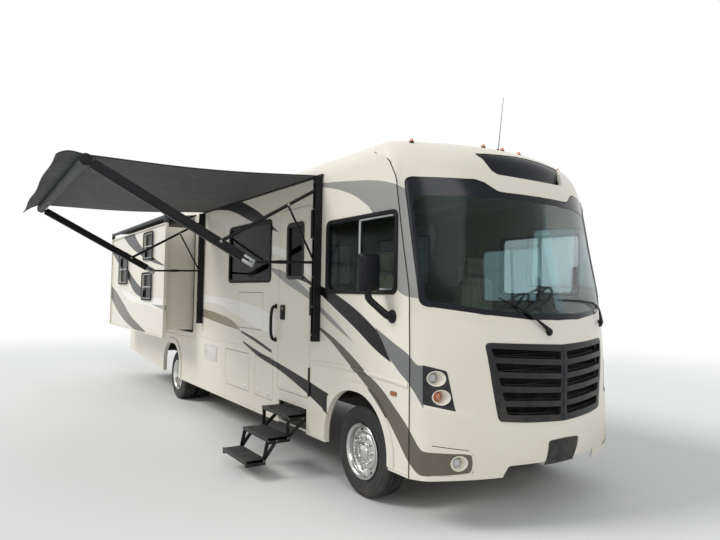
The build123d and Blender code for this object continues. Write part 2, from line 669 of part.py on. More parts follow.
# Leaf springs: x of the axle, half length, height under the axle, height of the eyes, inner y
SPRING_WIDTH = 70
SPRING_DEPTH = 70
SPRING_EYE = 40
SPRINGS = [
    (0, 620, BEAM_Z[1], RAIL_BOTTOM, RAIL_OUTER - SPRING_WIDTH),
    (REAR_AXLE_X, 720, AXLE_HEIGHT + REAR_TUBE_RADIUS + 0.5, RAIL_BOTTOM + 60, RAIL_OUTER + 12),
]
HUB_RADIUS = 85
RIM_RADIUS = 255
RIM_FLANGE = 268
RIM_WIDTH = 200
DISC_THICKNESS = 12


def kingpin_bar(side, half, radius):
    # An upright bar on the kingpin's line
    y = side * KINGPIN_Y
    return rod((0, y, AXLE_HEIGHT - half), (0, y, AXLE_HEIGHT + half), radius)


def axles():
    beam = block((-BEAM_HALF, BEAM_HALF), (BEAM_INSET - KINGPIN_Y, KINGPIN_Y - BEAM_INSET), BEAM_Z)
    for side in (-1, 1):
        arm_y = sorted(side * y for y in BEAM_ARM_Y)
        beam += block((-BEAM_ARM_HALF, BEAM_ARM_HALF), arm_y, BEAM_ARM_Z)
        beam += kingpin_bar(side, BEAM_EYE_HALF, BEAM_EYE_RADIUS)
        beam -= kingpin_bar(side, BEAM_EYE_HALF * 2, KINGPIN_RADIUS + KINGPIN_FIT)
    nodes["front_axle"] = beam
    reach = WHEEL_OUTER_FACE - TYRE_WIDTH * 2 - TWIN_GAP - REAR_TUBE_GAP
    spindle = WHEEL_OUTER_FACE - REAR_SPINDLE_INSET
    housing = Pos(REAR_AXLE_X, 0, AXLE_HEIGHT) * Sphere(REAR_PUMPKIN_RADIUS)
    for half, radius in ((reach, REAR_TUBE_RADIUS), (spindle, REAR_SPINDLE_RADIUS)):
        housing += rod((REAR_AXLE_X, -half, AXLE_HEIGHT), (REAR_AXLE_X, half, AXLE_HEIGHT), radius)
    nodes["rear_axle"] = housing
    springs = []
    for x, half, low, top, y in SPRINGS:
        under = [(x - half, top - SPRING_EYE), (x, low), (x + half, top - SPRING_EYE)]
        over = [(x + half, top), (x, low + SPRING_DEPTH), (x - half, top)]
        springs.append(both_sides(side_prism(under + over, (-y - SPRING_WIDTH, -y))))
    nodes["leaf_springs"] = group(springs)


# Tyre section: the shoulder is set back from the tread and the bead stands in the rim
TYRE_SHOULDER = (14, 22)
TYRE_TREAD_INSET = 30
TYRE_WIDEST_RADIUS = 350
TYRE_BEAD_RISE = 45
RIM_LIP = 8
RIM_WELL = 30
# Front wheel: how far its disc and hub lie inside the tyre's outer face
FRONT_DISC_INSET = 40
FRONT_HUB_Y = (16, 90)
DISC_HOLE = 25
# Knuckle: its pin, its two arms and the plate and spindle that carry the wheel
KNUCKLE_PIN_HALF = 130
KNUCKLE_HALF = 40
KNUCKLE_ARM_Z = (82, 110)
KNUCKLE_ARM_Y = (-75, 40)
KNUCKLE_PLATE_Y = (-78, -52)
SPINDLE_RADIUS = 40
SPINDLE_START = 60
SPINDLE_GAP = 10
# Twin rear wheels: the hub that stands out, the disc, and the ring that joins both rims
REAR_HUB_INSET = 60
REAR_DISC_INSET = 190
REAR_RING_INSET = 26
REAR_RING_DEPTH = 34


def wheel_outlines(outer):
    # Tyre and rim outlines of y, radius points for a wheel whose outer face is at y = -outer
    face, back = -outer, -outer + TYRE_WIDTH
    bead = (TYRE_WIDTH - RIM_WIDTH) / 2
    half = [
        (bead, RIM_FLANGE - RIM_LIP), (4, RIM_FLANGE + TYRE_BEAD_RISE), (0, TYRE_WIDEST_RADIUS),
        (TYRE_SHOULDER[0], TYRE_RADIUS - TYRE_SHOULDER[1]), (TYRE_TREAD_INSET, TYRE_RADIUS),
    ]
    tyre = [(face + y, radius) for y, radius in half] + [(back - y, radius) for y, radius in reversed(half)]
    return tyre, face + bead, back - bead


def rim_barrel(low, high):
    edge = RIM_FLANGE - RIM_LIP - 2
    half = [(0, edge), (0, edge - 18), (RIM_WELL, RIM_RADIUS - RIM_WELL)]
    return [(low + y, radius) for y, radius in half] + [(high - y, radius) for y, radius in reversed(half)]


def washer(y, inner, outer):
    # A flat ring's outline of y, radius points
    return [(y[0], inner), (y[0], outer), (y[1], outer), (y[1], inner)]


def front_wheels():
    tyre, low, high = wheel_outlines(WHEEL_OUTER_FACE)
    rim = turned(rim_barrel(low, high), 0, AXLE_HEIGHT)
    disc_y = (low + FRONT_DISC_INSET, low + FRONT_DISC_INSET + DISC_THICKNESS)
    rim += turned(washer(disc_y, DISC_HOLE, RIM_RADIUS - RIM_WELL + 10), 0, AXLE_HEIGHT)
    hub_start, hub_end = (y - WHEEL_OUTER_FACE for y in FRONT_HUB_Y)
    rim += rod((0, hub_start, AXLE_HEIGHT), (0, hub_end, AXLE_HEIGHT), HUB_RADIUS)
    knuckle = kingpin_bar(-1, KNUCKLE_PIN_HALF, KINGPIN_RADIUS)
    width = (-KNUCKLE_HALF, KNUCKLE_HALF)
    for side in (-1, 1):
        arm_z = sorted(AXLE_HEIGHT + side * z for z in KNUCKLE_ARM_Z)
        knuckle += block(width, [y - KINGPIN_Y for y in KNUCKLE_ARM_Y], arm_z)
    plate_z = grow((AXLE_HEIGHT, AXLE_HEIGHT), KNUCKLE_ARM_Z[1])
    knuckle += block(width, [y - KINGPIN_Y for y in KNUCKLE_PLATE_Y], plate_z)
    spindle_end = hub_end + SPINDLE_GAP
    knuckle += rod((0, -KINGPIN_Y - SPINDLE_START, AXLE_HEIGHT), (0, spindle_end, AXLE_HEIGHT), SPINDLE_RADIUS)
    for name, shape in (("tyre", turned(tyre, 0, AXLE_HEIGHT)), ("rim", rim)):
        nodes["front_" + name + "_right"] = shape
        nodes["front_" + name + "_left"] = other_side(shape)
    nodes["knuckle_right"] = knuckle
    nodes["knuckle_left"] = other_side(knuckle)


def rear_wheels():
    tyres, rims = [], []
    for outer in (WHEEL_OUTER_FACE, WHEEL_OUTER_FACE - TYRE_WIDTH - TWIN_GAP):
        tyre, low, high = wheel_outlines(outer)
        tyres.append(turned(tyre, REAR_AXLE_X, AXLE_HEIGHT))
        rims.append(turned(rim_barrel(low, high), REAR_AXLE_X, AXLE_HEIGHT))
    outer_face = -WHEEL_OUTER_FACE
    disc_y = (outer_face + REAR_DISC_INSET, outer_face + REAR_DISC_INSET + DISC_THICKNESS * 2)
    ring_y = (disc_y[0], outer_face + TYRE_WIDTH + TWIN_GAP + REAR_HUB_INSET)
    ring_radius = RIM_RADIUS - REAR_RING_INSET
    bore = REAR_SPINDLE_RADIUS + 10
    hub = [(outer_face + REAR_HUB_INSET, 0), (outer_face + REAR_HUB_INSET, HUB_RADIUS), (disc_y[1], HUB_RADIUS),
           (disc_y[1], bore), (disc_y[0], bore), (disc_y[0], 0)]
    rim = rims[0] + rims[1]
    for outline in (washer(disc_y, bore, ring_radius), hub, washer(ring_y, ring_radius - REAR_RING_DEPTH, ring_radius)):
        rim += turned(outline, REAR_AXLE_X, AXLE_HEIGHT)
    for name, shape in (("tyres", group(tyres)), ("rims", rim)):
        nodes["rear_" + name + "_right"] = shape
        nodes["rear_" + name + "_left"] = other_side(shape)


# Awning over the door, open. Its parts lie in two planes of constant x
AWNING_X = (-4320, -683)
# Channels on the wall: half width, distance from the skin, wall thickness, height span
CHANNEL_HALF = 28
CHANNEL_REACH = (4, 84)
CHANNEL_WALL = (6, 10)
CHANNEL_Z = (1400, 3090)
# Distance from the skin and height of the roller's middle
AWNING_ROLLER = (2243.5, 2960)
AWNING_ROLLER_RADIUS = 45
AWNING_ROLLER_INSET = 22
AWNING_RAIL_Z = (3096, 3120)
AWNING_RAIL_DEPTH = 24
AWNING_RAIL_OVERHANG = 40
AWNING_CLOTH_INSET = 35
AWNING_CLOTH_START = 12
# The cloth's front edge folds over the roller and hangs here: distance from the skin, drop below the roller
VALANCE_FOLD = (48, 38)
VALANCE_REACH = 2463.5
VALANCE_DROP = 122
# Links of each arm: distance from the skin and height of both ends, radius
ARM_FOOT_REACH = 40.5
ARM_ELBOW = (773.5, 2178)
AWNING_LINKS = [
    ((ARM_FOOT_REACH, 2968), (1073.5, 2355), 17),
    (ARM_ELBOW, AWNING_ROLLER, 20),
    ((ARM_FOOT_REACH, 2204), ARM_ELBOW, 14),
    ((ARM_FOOT_REACH + 28, 2204), (383.5, 2765), 11),
]


def awning():
    channels, arms = [], []
    near, far = CHANNEL_REACH
    for x in AWNING_X:
        channel = block(grow((x, x), CHANNEL_HALF), (out(far), out(near)), CHANNEL_Z)
        hollow_x = grow((x, x), CHANNEL_HALF - CHANNEL_WALL[0])
        channel -= block(hollow_x, (out(far + 1), out(near + CHANNEL_WALL[1])), grow(CHANNEL_Z, 1))
        channels.append(channel)
        arm = []
        for start, end, radius in AWNING_LINKS:
            arm.append(rod((x, out(start[0]), start[1]), (x, out(end[0]), end[1]), radius))
        arms.append(arm[0].fuse(*arm[1:]))
    nodes["awning_arms"] = group(arms)
    y, z = out(AWNING_ROLLER[0]), AWNING_ROLLER[1]
    ends = grow(AWNING_X, -AWNING_ROLLER_INSET)
    nodes["awning_roller"] = rod((ends[0], y, z), (ends[1], y, z), AWNING_ROLLER_RADIUS)
    rail = block(grow(AWNING_X, AWNING_RAIL_OVERHANG), (out(AWNING_RAIL_DEPTH), out(0)), AWNING_RAIL_Z)
    topper_z = (TOPPER_RAIL[1] - TOPPER_RAIL_HEIGHT, TOPPER_RAIL[1] + CLOTH)
    nodes["awning_channels"] = group(channels + [rail, block(FASCIA_X, (TOPPER_RAIL[0], out(0)), topper_z)])
    top = z + AWNING_ROLLER_RADIUS + CLOTH + 2
    fold_y, fold_z = y - VALANCE_FOLD[0], z + VALANCE_FOLD[1]
    hem = (out(VALANCE_REACH), z - VALANCE_DROP)
    wall = (out(AWNING_CLOTH_START), AWNING_RAIL_Z[1] + 1)
    over = [(wall[0], wall[1] + CLOTH), (y, top), (fold_y, fold_z), hem]
    under = [(hem[0], hem[1] - CLOTH), (fold_y + 2, fold_z - CLOTH), (y, top - CLOTH)]
    nodes["awning_cloth"] = front_prism([wall] + over + under, grow(AWNING_X, -AWNING_CLOTH_INSET))


# Folding entry steps, open: height, distance from the skin to the near and far edge
STEP_X = (-1560, -940)
STEPS = [(610, -26.5, 213.5), (400, 173.5, 433.5), (200, 443.5, 663.5)]
STEP_THICKNESS = 28
STEP_GAP = 25
HANGER_THICKNESS = 8
# Side plates that carry them: distance from the skin, height
HANGER = [
    (-61.5, STAIR_FLOOR), (-126.5, STAIR_FLOOR), (-86.5, 620), (13.5, 545), (173.5, 372), (443.5, 172),
    (523.5, 172), (323.5, 380), (143.5, 600), (-16.5, 632), (-61.5, 650),
]


def entry_steps():
    pieces = []
    for z, near, far in STEPS:
        pieces.append(block(STEP_X, (out(far), out(near)), (z - STEP_THICKNESS, z)))
    hanger = [(out(reach), z) for reach, z in HANGER]
    for x in (STEP_X[0], STEP_X[1] - HANGER_THICKNESS):
        pieces.append(front_prism(hanger, (x, x + HANGER_THICKNESS)))
    nodes["entry_steps"] = pieces[0].fuse(*pieces[1:])


# Mirrors, wipers, lamps and what stands on the roof
# Head: x span, distance from the skin, height span, corner radius
MIRROR_X = (415, 505)
MIRROR_REACH = (68, 274)
MIRROR_Z = (1904, 2240)
MIRROR_CORNER = 45
# Arm: from the foot on the wall to a bend, then up into the head
MIRROR_FOOT = (570, 1700)
MIRROR_FOOT_RADIUS = 42
MIRROR_FOOT_HEIGHT = 16
MIRROR_BEND = (470, 180, 1855)
MIRROR_ARM_RADIUS = 16


def mirrors():
    head = block(MIRROR_X, (out(MIRROR_REACH[1]), out(MIRROR_REACH[0])), MIRROR_Z)
    head = fillet(head.edges().filter_by(Axis.X), MIRROR_CORNER)
    x, z = MIRROR_FOOT
    bend = (MIRROR_BEND[0], out(MIRROR_BEND[1]), MIRROR_BEND[2])
    arm = rod((x, out(MIRROR_FOOT_HEIGHT - 2), z), bend, MIRROR_ARM_RADIUS)
    arm += rod(bend, (bend[0], bend[1], MIRROR_Z[0] + MIRROR_CORNER), MIRROR_ARM_RADIUS)
    foot = rod((x, out(0), z), (x, out(MIRROR_FOOT_HEIGHT), z), MIRROR_FOOT_RADIUS)
    nodes["mirrors"] = both_sides(head + arm + foot)


# Wipers: pivot, bends and tip of each arm as x, y, height
WIPERS = [
    [(1322, -138, 1587), (1280, -309, 1707), (1168, -623, 1875)],
    [(1110, 880, 1635), (1127, 760, 1800), (1224, 455, 1853), (1275, 10, 1864)],
]
WIPER_ARM_RADIUS = 9
WIPER_PIVOT_RADIUS = 24


def wipers():
    arms = []
    for points in WIPERS:
        arm = Pos(*points[0]) * Sphere(WIPER_PIVOT_RADIUS)
        for start, end in zip(points, points[1:]):
            arm += rod(start, end, WIPER_ARM_RADIUS)
        arms.append(arm)
    nodes["wipers"] = group(arms)


# Lamps in a row on the brow, which curves back toward the sides
BROW_LAMP_Y = (-1020, -248, 0, 248, 1020)
BROW_LAMP_X = 620
BROW_CURVE = 0.00013
BROW_LAMP_HALF = (60, 35)
BROW_LAMP_Z = (3180, ROOF_CROWN)
# Lamps on the side and the tail: x span or y span, how far they stand out, height span
LAMP_PROUD = (16, 20)
SIDE_LAMP = ((560, 646), (1034, 1070))
TAIL_LAMPS = [((96.5, 216.5), (1000, 1330)), ((96.5, 216.5), (2900, 2980))]


def marker_lamps():
    lamps = []
    for y in BROW_LAMP_Y:
        x = BROW_LAMP_X - BROW_CURVE * y * y
        lamp_x, lamp_y = grow((x, x), BROW_LAMP_HALF[0]), grow((y, y), BROW_LAMP_HALF[1])
        lamps.append(block(lamp_x, lamp_y, BROW_LAMP_Z) - OUTER_NOSE)
    lamps.append(both_sides(block(SIDE_LAMP[0], (out(LAMP_PROUD[0]), out(0)), SIDE_LAMP[1])))
    for inset, z in TAIL_LAMPS:
        lamp_y = (HALF_WIDTH - inset[1], HALF_WIDTH - inset[0])
        lamps.append(both_sides(block((BODY_TAIL - LAMP_PROUD[1], BODY_TAIL), lamp_y, z)))
    nodes["marker_lamps"] = group(lamps)


# Air conditioners on the roof: their middles, and length, width and height of each section
ROOF_UNIT_X = (-2400, -7200)
ROOF_UNIT = [(1050, 740, 0), (960, 660, 250), (700, 500, 330)]
VENT_X = (-4200, -5700)
VENT_HALF = 200
VENT_HEIGHT = 105
# Antenna: x of its foot, x and height of its tip
ANTENNA_Y = 120
ANTENNA_FOOT = (450, ROOF_CROWN - 25)
ANTENNA_TIP = (520, 3890)
ANTENNA_RADIUS = 4
ANTENNA_BASE_RADIUS = 22
ANTENNA_BASE_HEIGHT = 35


def roof_gear():
    units = []
    for x in ROOF_UNIT_X:
        sections = [Plane.XY.offset(height) * Rectangle(length, width) for length, width, height in ROOF_UNIT]
        units.append(Pos(x, 0, ROOF_CROWN) * loft(sections, ruled=True))
    for x in VENT_X:
        across = (-VENT_HALF, VENT_HALF)
        units.append(block(grow((x, x), VENT_HALF), across, (ROOF_CROWN, ROOF_CROWN + VENT_HEIGHT)))
    x, z = ANTENNA_FOOT
    mast = rod((x, ANTENNA_Y, z), (ANTENNA_TIP[0], ANTENNA_Y, ANTENNA_TIP[1]), ANTENNA_RADIUS)
    mast += rod((x, ANTENNA_Y, z), (x, ANTENNA_Y, z + ANTENNA_BASE_HEIGHT), ANTENNA_BASE_RADIUS)
    nodes["roof_units"] = group(units + [mast - OUTER_NOSE])


# Ladder on the rear wall
LADDER_Y = (560, 900)
LADDER_Z = (1150, 3230)
LADDER_STANDOFF = 70
LADDER_RAIL = 28
LADDER_RUNG_RADIUS = 11
LADDER_FEET = (1220, 2120, 3020)
LADDER_RUNGS = 7
LADDER_FIRST_RUNG = 1320
LADDER_PITCH = 290
LADDER_LAP = 3


def tail_fittings():
    x = BODY_TAIL - LADDER_STANDOFF
    rails, cross = [], []
    for y in LADDER_Y:
        rails.append(block(grow((x, x), LADDER_RAIL / 2), grow((y, y), LADDER_RAIL / 2), LADDER_Z))
        cross += [rod((BODY_TAIL, y, z), (x + LADDER_LAP, y, z), LADDER_RUNG_RADIUS) for z in LADDER_FEET]
    for step in range(LADDER_RUNGS):
        z = LADDER_FIRST_RUNG + step * LADDER_PITCH
        ends = grow(LADDER_Y, -LADDER_LAP)
        cross.append(rod((x, ends[0], z), (x, ends[1], z), LADDER_RUNG_RADIUS))
    nodes["ladder"] = rails[0].fuse(rails[1], *cross)


# Cab: the dash in side view as x, height
DASH_HALF = 900
DASH_GAP = 20
DASH_FOOT = FLOOR_TOP + 10
DASH = [
    (1240, 1560), (1240, 1660), (900, 1680), (640, 1640), (600, 1400), (700, DASH_FOOT), (760, DASH_FOOT), (760, 1400),
]
# Seats: x span, half width, height span of the base, the cushion, the link to the back and the back
SEAT_Y = 620
SEAT_TOP = 1690
SEAT_BASE = ((-200, 150), 180, (FLOOR_TOP, 1540))
SEAT_PIECES = [((-270, 260), 270, (1541, SEAT_TOP)), ((-330, -260), 200, (1560, 1640)), ((-430, -290), 260, (1560, 2330))]
# Steering wheel: its middle as x, height, and its tilt
WHEEL_MIDDLE = (500, 1850)
WHEEL_TILT = -40
WHEEL_RADIUS = 205
WHEEL_GRIP = 14
WHEEL_BOSS = (45, 30)
WHEEL_SPOKE = 30
COLUMN_RADIUS = 24
COLUMN_LENGTH = 320
COLUMN_GAP = 6


def cab():
    board = side_prism(DASH, (-DASH_HALF, DASH_HALF)) & nose_body(CAP_THICKNESS + DASH_GAP)
    bases, cushions = [], []
    for y in (-SEAT_Y, SEAT_Y):
        x, half, z = SEAT_BASE
        bases.append(block(x, (y - half, y + half), z))
        pieces = []
        for x, half, z in SEAT_PIECES:
            pieces.append(block(x, (y - half, y + half), z))
        cushions.append(pieces[0].fuse(*pieces[1:]))
    nodes["seat_bases"] = group(bases)
    nodes["seat_cushions"] = group(cushions)
    spoke = WHEEL_RADIUS * 2 - 10
    ring = Torus(WHEEL_RADIUS, WHEEL_GRIP) + Cylinder(*WHEEL_BOSS)
    ring += Box(spoke, WHEEL_SPOKE, WHEEL_GRIP) + Box(WHEEL_SPOKE, spoke, WHEEL_GRIP)
    place = Pos(WHEEL_MIDDLE[0], SEAT_Y, WHEEL_MIDDLE[1]) * Rot(0, WHEEL_TILT, 0)
    half_way = Pos(0, 0, -COLUMN_LENGTH / 2)
    nodes["steering_wheel"] = place * (ring + half_way * Cylinder(COLUMN_RADIUS, COLUMN_LENGTH))
    nodes["dash"] = board - place * half_way * Cylinder(COLUMN_RADIUS + COLUMN_GAP, COLUMN_LENGTH + 20)


# Grab handle behind the door: its x, distance from the skin, height span, radii of grip and feet
HANDLE_X = -1700
HANDLE_REACH = 63.5
HANDLE_Z = (1340, 1720)
HANDLE_RADII = (13, 11)


def handle():
    y = out(HANDLE_REACH)
    grip = rod((HANDLE_X, y, HANDLE_Z[0]), (HANDLE_X, y, HANDLE_Z[1]), HANDLE_RADII[0])
    for z in HANDLE_Z:
        grip += rod((HANDLE_X, y, z), (HANDLE_X, out(0), z), HANDLE_RADII[1])
    nodes["grab_handle"] = grip


nodes["front_cap"] = front_cap()
front_fittings()
side_walls()
slide_out()
windows()
doors()
roof_and_tail()
floor()
lockers()
chassis()
engine_and_drive()
axles()
front_wheels()
rear_wheels()
awning()
entry_steps()
mirrors()
wipers()
marker_lamps()
roof_gear()
tail_fittings()
cab()
handle()

# The origin goes to the middle of the whole outline, on the ground
os.makedirs("parts", exist_ok=True)
whole = group(nodes.values()).bounding_box()
shift = Location((-(whole.min.X + whole.max.X) / 2, -(whole.min.Y + whole.max.Y) / 2, 0))
print("shift", shift.position.X, shift.position.Y, "low", whole.min.Z)
for name, shape in nodes.items():
    export_step(shape.moved(shift), f"parts/{name}.step")
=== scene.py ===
from math import copysign, cos, exp, pi, radians, sin, sqrt, tan

import bmesh
import bpy
from mathutils import Matrix, Vector


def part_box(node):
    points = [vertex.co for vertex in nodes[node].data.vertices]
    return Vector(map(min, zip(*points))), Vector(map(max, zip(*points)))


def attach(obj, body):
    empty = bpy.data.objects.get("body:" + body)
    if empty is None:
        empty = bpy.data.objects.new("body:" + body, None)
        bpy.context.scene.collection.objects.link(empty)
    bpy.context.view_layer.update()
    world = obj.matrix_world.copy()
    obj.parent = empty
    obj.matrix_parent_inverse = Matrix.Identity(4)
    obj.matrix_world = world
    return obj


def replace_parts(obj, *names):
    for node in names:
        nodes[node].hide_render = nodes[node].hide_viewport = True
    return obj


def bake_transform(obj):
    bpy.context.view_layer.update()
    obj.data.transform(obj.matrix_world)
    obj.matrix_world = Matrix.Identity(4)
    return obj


# A motorhome with its awning and rear slide-out open.
# Shapes are worked out in coach metres: x forward from the front axle, y to the driver's side, z up.

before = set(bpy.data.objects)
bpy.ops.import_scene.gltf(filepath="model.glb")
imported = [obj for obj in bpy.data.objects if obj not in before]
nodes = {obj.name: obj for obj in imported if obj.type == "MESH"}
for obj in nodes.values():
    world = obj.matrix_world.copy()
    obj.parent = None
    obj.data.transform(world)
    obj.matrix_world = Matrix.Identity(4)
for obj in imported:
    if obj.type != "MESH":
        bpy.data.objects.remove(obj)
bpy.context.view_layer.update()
axleLow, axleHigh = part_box("front_axle")
coachOrigin = Vector(((axleLow.x + axleHigh.x) / 2, (axleLow.y + axleHigh.y) / 2, 0))
halfWidth = 1.2765  # from the middle to the skin of a side wall
rearFace = -9.1
root = "coach"


# camera, floor and light

cameraSetup = {
    "place": (4.551, -4.27, 1.89),
    "yaw": 33.694,
    "pitch": 2.321,
    "roll": -0.941,
    "lens": 29.12,
}
studio = {
    "floorColor": (0.8, 0.8, 0.78, 1),
    "floorGrain": (0.74, 0.74, 0.72, 1),
    "floorReach": 40,
    "floorFade": (9, 19),
    "worldStrength": 0.62,
    "keyStrength": 1.75,
    "keyTurn": (48, 0, -28),
    "keySoftness": 24,
    "fillStrength": 0.55,
    "fillTurn": (58, 0, 75),
}


def makeCamera():
    yaw, pitch, roll = (radians(cameraSetup[key]) for key in ("yaw", "pitch", "roll"))
    ahead = Vector((-cos(yaw) * cos(pitch), sin(yaw) * cos(pitch), sin(pitch)))
    level = ahead.cross(Vector((0, 0, 1))).normalized()
    upright = level.cross(ahead)
    right = level * cos(roll) - upright * sin(roll)
    up = upright * cos(roll) + level * sin(roll)
    camera = bpy.data.objects.new("camera", bpy.data.cameras.new("camera"))
    bpy.context.scene.collection.objects.link(camera)
    turn = Matrix((right, up, -ahead)).transposed().to_4x4()
    camera.matrix_world = Matrix.Translation(Vector(cameraSetup["place"]) + coachOrigin) @ turn
    camera.data.sensor_width = 36
    camera.data.lens = cameraSetup["lens"]
    camera.data.clip_end = 200
    bpy.context.scene.camera = camera


def feed(tree, socket, value):
    # links a socket to another, or sets a plain value on it
    if isinstance(value, bpy.types.NodeSocket):
        tree.links.new(value, socket)
    else:
        socket.default_value = value


def makeNode(tree, kind, **values):
    # a shader node with its settings and inputs; i0 is the first input, i1 the second
    made = tree.nodes.new(kind)
    for key, value in values.items():
        if hasattr(made, key) and not isinstance(value, bpy.types.NodeSocket):
            setattr(made, key, value)
        else:
            feed(tree, made.inputs[int(key[1:]) if key[1:].isdigit() else key.replace("_", " ")], value)
    return made


def calculate(tree, operation, first, second=0.0, third=0.0, clamp=False):
    made = makeNode(tree, "ShaderNodeMath", operation=operation, use_clamp=clamp, i0=first, i1=second, i2=third)
    return made.outputs[0]


def rampBetween(tree, value, low, high, toLow=0.0, toHigh=1.0):
    return makeNode(tree, "ShaderNodeMapRange", interpolation_type="SMOOTHSTEP", Value=value, From_Min=low,
                    From_Max=high, To_Min=toLow, To_Max=toHigh).outputs[0]


def blendColors(tree, factor, first, second, mode="MIX"):
    # inputs 6 and 7 of the node are its two colours
    made = makeNode(tree, "ShaderNodeMix", data_type="RGBA", blend_type=mode, i0=factor, i6=first, i7=second)
    return made.outputs[2]


def objectPlace(tree):
    return makeNode(tree, "ShaderNodeTexCoord").outputs["Object"]


def placeAxes(tree):
    return makeNode(tree, "ShaderNodeSeparateXYZ", Vector=objectPlace(tree)).outputs


def noiseAt(tree, place, scale, detail, **values):
    return makeNode(tree, "ShaderNodeTexNoise", Vector=place, Scale=scale, Detail=detail, **values).outputs[0]


def makeStudio():
    scene = bpy.context.scene
    scene.view_settings.view_transform = "Standard"
    world = bpy.data.worlds.new("studio")
    scene.world = world
    world.use_nodes = True
    tree = world.node_tree
    tree.nodes.clear()
    path = makeNode(tree, "ShaderNodeLightPath")
    seen = calculate(tree, "MAXIMUM", path.outputs["Is Camera Ray"], path.outputs["Is Glossy Ray"])
    seen = calculate(tree, "MAXIMUM", seen, path.outputs["Is Transmission Ray"])
    light = makeNode(tree, "ShaderNodeBackground", Color=(0.93, 0.96, 1.0, 1), Strength=studio["worldStrength"])
    backdrop = makeNode(tree, "ShaderNodeBackground", Color=(1, 1, 1, 1), Strength=1.0)
    both = makeNode(tree, "ShaderNodeMixShader", i0=seen, i1=light.outputs[0], i2=backdrop.outputs[0])
    makeNode(tree, "ShaderNodeOutputWorld", Surface=both.outputs[0])
    for name in ("key", "fill"):
        lamp = bpy.data.lights.new(name, "SUN")
        lamp.energy = studio[name + "Strength"]
        lamp.angle = radians(studio["keySoftness"])
        holder = bpy.data.objects.new(name, lamp)
        holder.rotation_euler = [radians(turn) for turn in studio[name + "Turn"]]
        scene.collection.objects.link(holder)
    reach = studio["floorReach"]
    mesh = bpy.data.meshes.new("floor")
    mesh.from_pydata([(-reach, -reach, 0), (reach, -reach, 0), (reach, reach, 0), (-reach, reach, 0)], [],
                     [(0, 1, 2, 3)])
    ground = bpy.data.objects.new("ground", mesh)
    scene.collection.objects.link(ground)
    material = bpy.data.materials.new("paleFloor")
    material.use_nodes = True
    tree = material.node_tree
    tree.nodes.clear()
    place = objectPlace(tree)
    away = makeNode(tree, "ShaderNodeVectorMath", operation="LENGTH", i0=place).outputs["Value"]
    fade = rampBetween(tree, away, *studio["floorFade"])
    grain = noiseAt(tree, place, 90.0, 6.0)
    tone = blendColors(tree, grain, studio["floorColor"], studio["floorGrain"])
    surface = makeNode(tree, "ShaderNodeBsdfDiffuse", Color=tone)
    clear = makeNode(tree, "ShaderNodeBsdfTransparent")
    both = makeNode(tree, "ShaderNodeMixShader", i0=fade, i1=surface.outputs[0], i2=clear.outputs[0])
    makeNode(tree, "ShaderNodeOutputMaterial", Surface=both.outputs[0])
    mesh.materials.append(material)


makeCamera()
makeStudio()
print("studio ready")


# surface effects that several materials share

def newGroup(name, inputs, outputs):
    tree = bpy.data.node_groups.new(name, "ShaderNodeTree")
    for label, kind, value in inputs:
        socket = tree.interface.new_socket(label, in_out="INPUT", socket_type="NodeSocket" + kind)
        if value is not None:
            socket.default_value = value
    for label, kind in outputs:
        tree.interface.new_socket(label, in_out="OUTPUT", socket_type="NodeSocket" + kind)
    return tree, tree.nodes.new("NodeGroupInput").outputs, tree.nodes.new("NodeGroupOutput").inputs


def useGroup(tree, group, **values):
    made = tree.nodes.new("ShaderNodeGroup")
    made.node_tree = group
    for key, value in values.items():
        feed(tree, made.inputs[key], value)
    return made.outputs


def makeGrainGroup():
    # mottling about 0.5: a fine value and broad blotches
    tree, inputs, outputs = newGroup("grain", [("Scale", "Float", 40.0), ("Stretch", "Vector", (1, 1, 1))],
                                     [("Value", "Float"), ("Blotch", "Float")])
    place = makeNode(tree, "ShaderNodeVectorMath", operation="MULTIPLY", i0=objectPlace(tree), i1=inputs["Stretch"])
    wide = calculate(tree, "MULTIPLY", inputs["Scale"], 0.06)
    tree.links.new(noiseAt(tree, place.outputs[0], inputs["Scale"], 5.0), outputs["Value"])
    tree.links.new(noiseAt(tree, place.outputs[0], wide, 3.0), outputs["Blotch"])
    return tree


def makeDustGroup():
    # road dust that thickens toward the ground
    tree, inputs, outputs = newGroup("roadDust", [("Top", "Float", 1.0), ("Amount", "Float", 0.5)],
                                     [("Mask", "Float")])
    place = objectPlace(tree)
    height = makeNode(tree, "ShaderNodeSeparateXYZ", Vector=place).outputs["Z"]
    share = calculate(tree, "DIVIDE", height, inputs["Top"])
    low = calculate(tree, "SUBTRACT", 1.0, share, clamp=True)
    patchy = rampBetween(tree, noiseAt(tree, place, 9.0, 7.0, Roughness=0.65), 0.3, 0.75)
    mask = calculate(tree, "MULTIPLY", calculate(tree, "MULTIPLY", low, patchy), inputs["Amount"], clamp=True)
    tree.links.new(mask, outputs["Mask"])
    return tree


def makeWearGroup():
    # worn edges, from how sharply the surface turns
    tree, inputs, outputs = newGroup("edgeWear", [("Reach", "Float", 0.06), ("Amount", "Float", 0.5)],
                                     [("Mask", "Float")])
    sharp = makeNode(tree, "ShaderNodeNewGeometry").outputs["Pointiness"]
    start = calculate(tree, "SUBTRACT", sharp, 0.5)
    edge = calculate(tree, "DIVIDE", start, inputs["Reach"], clamp=True)
    patchy = rampBetween(tree, noiseAt(tree, objectPlace(tree), 60.0, 4.0), 0.35, 0.65)
    rough = calculate(tree, "MULTIPLY", edge, patchy)
    tree.links.new(calculate(tree, "MULTIPLY", rough, inputs["Amount"], clamp=True), outputs["Mask"])
    return tree


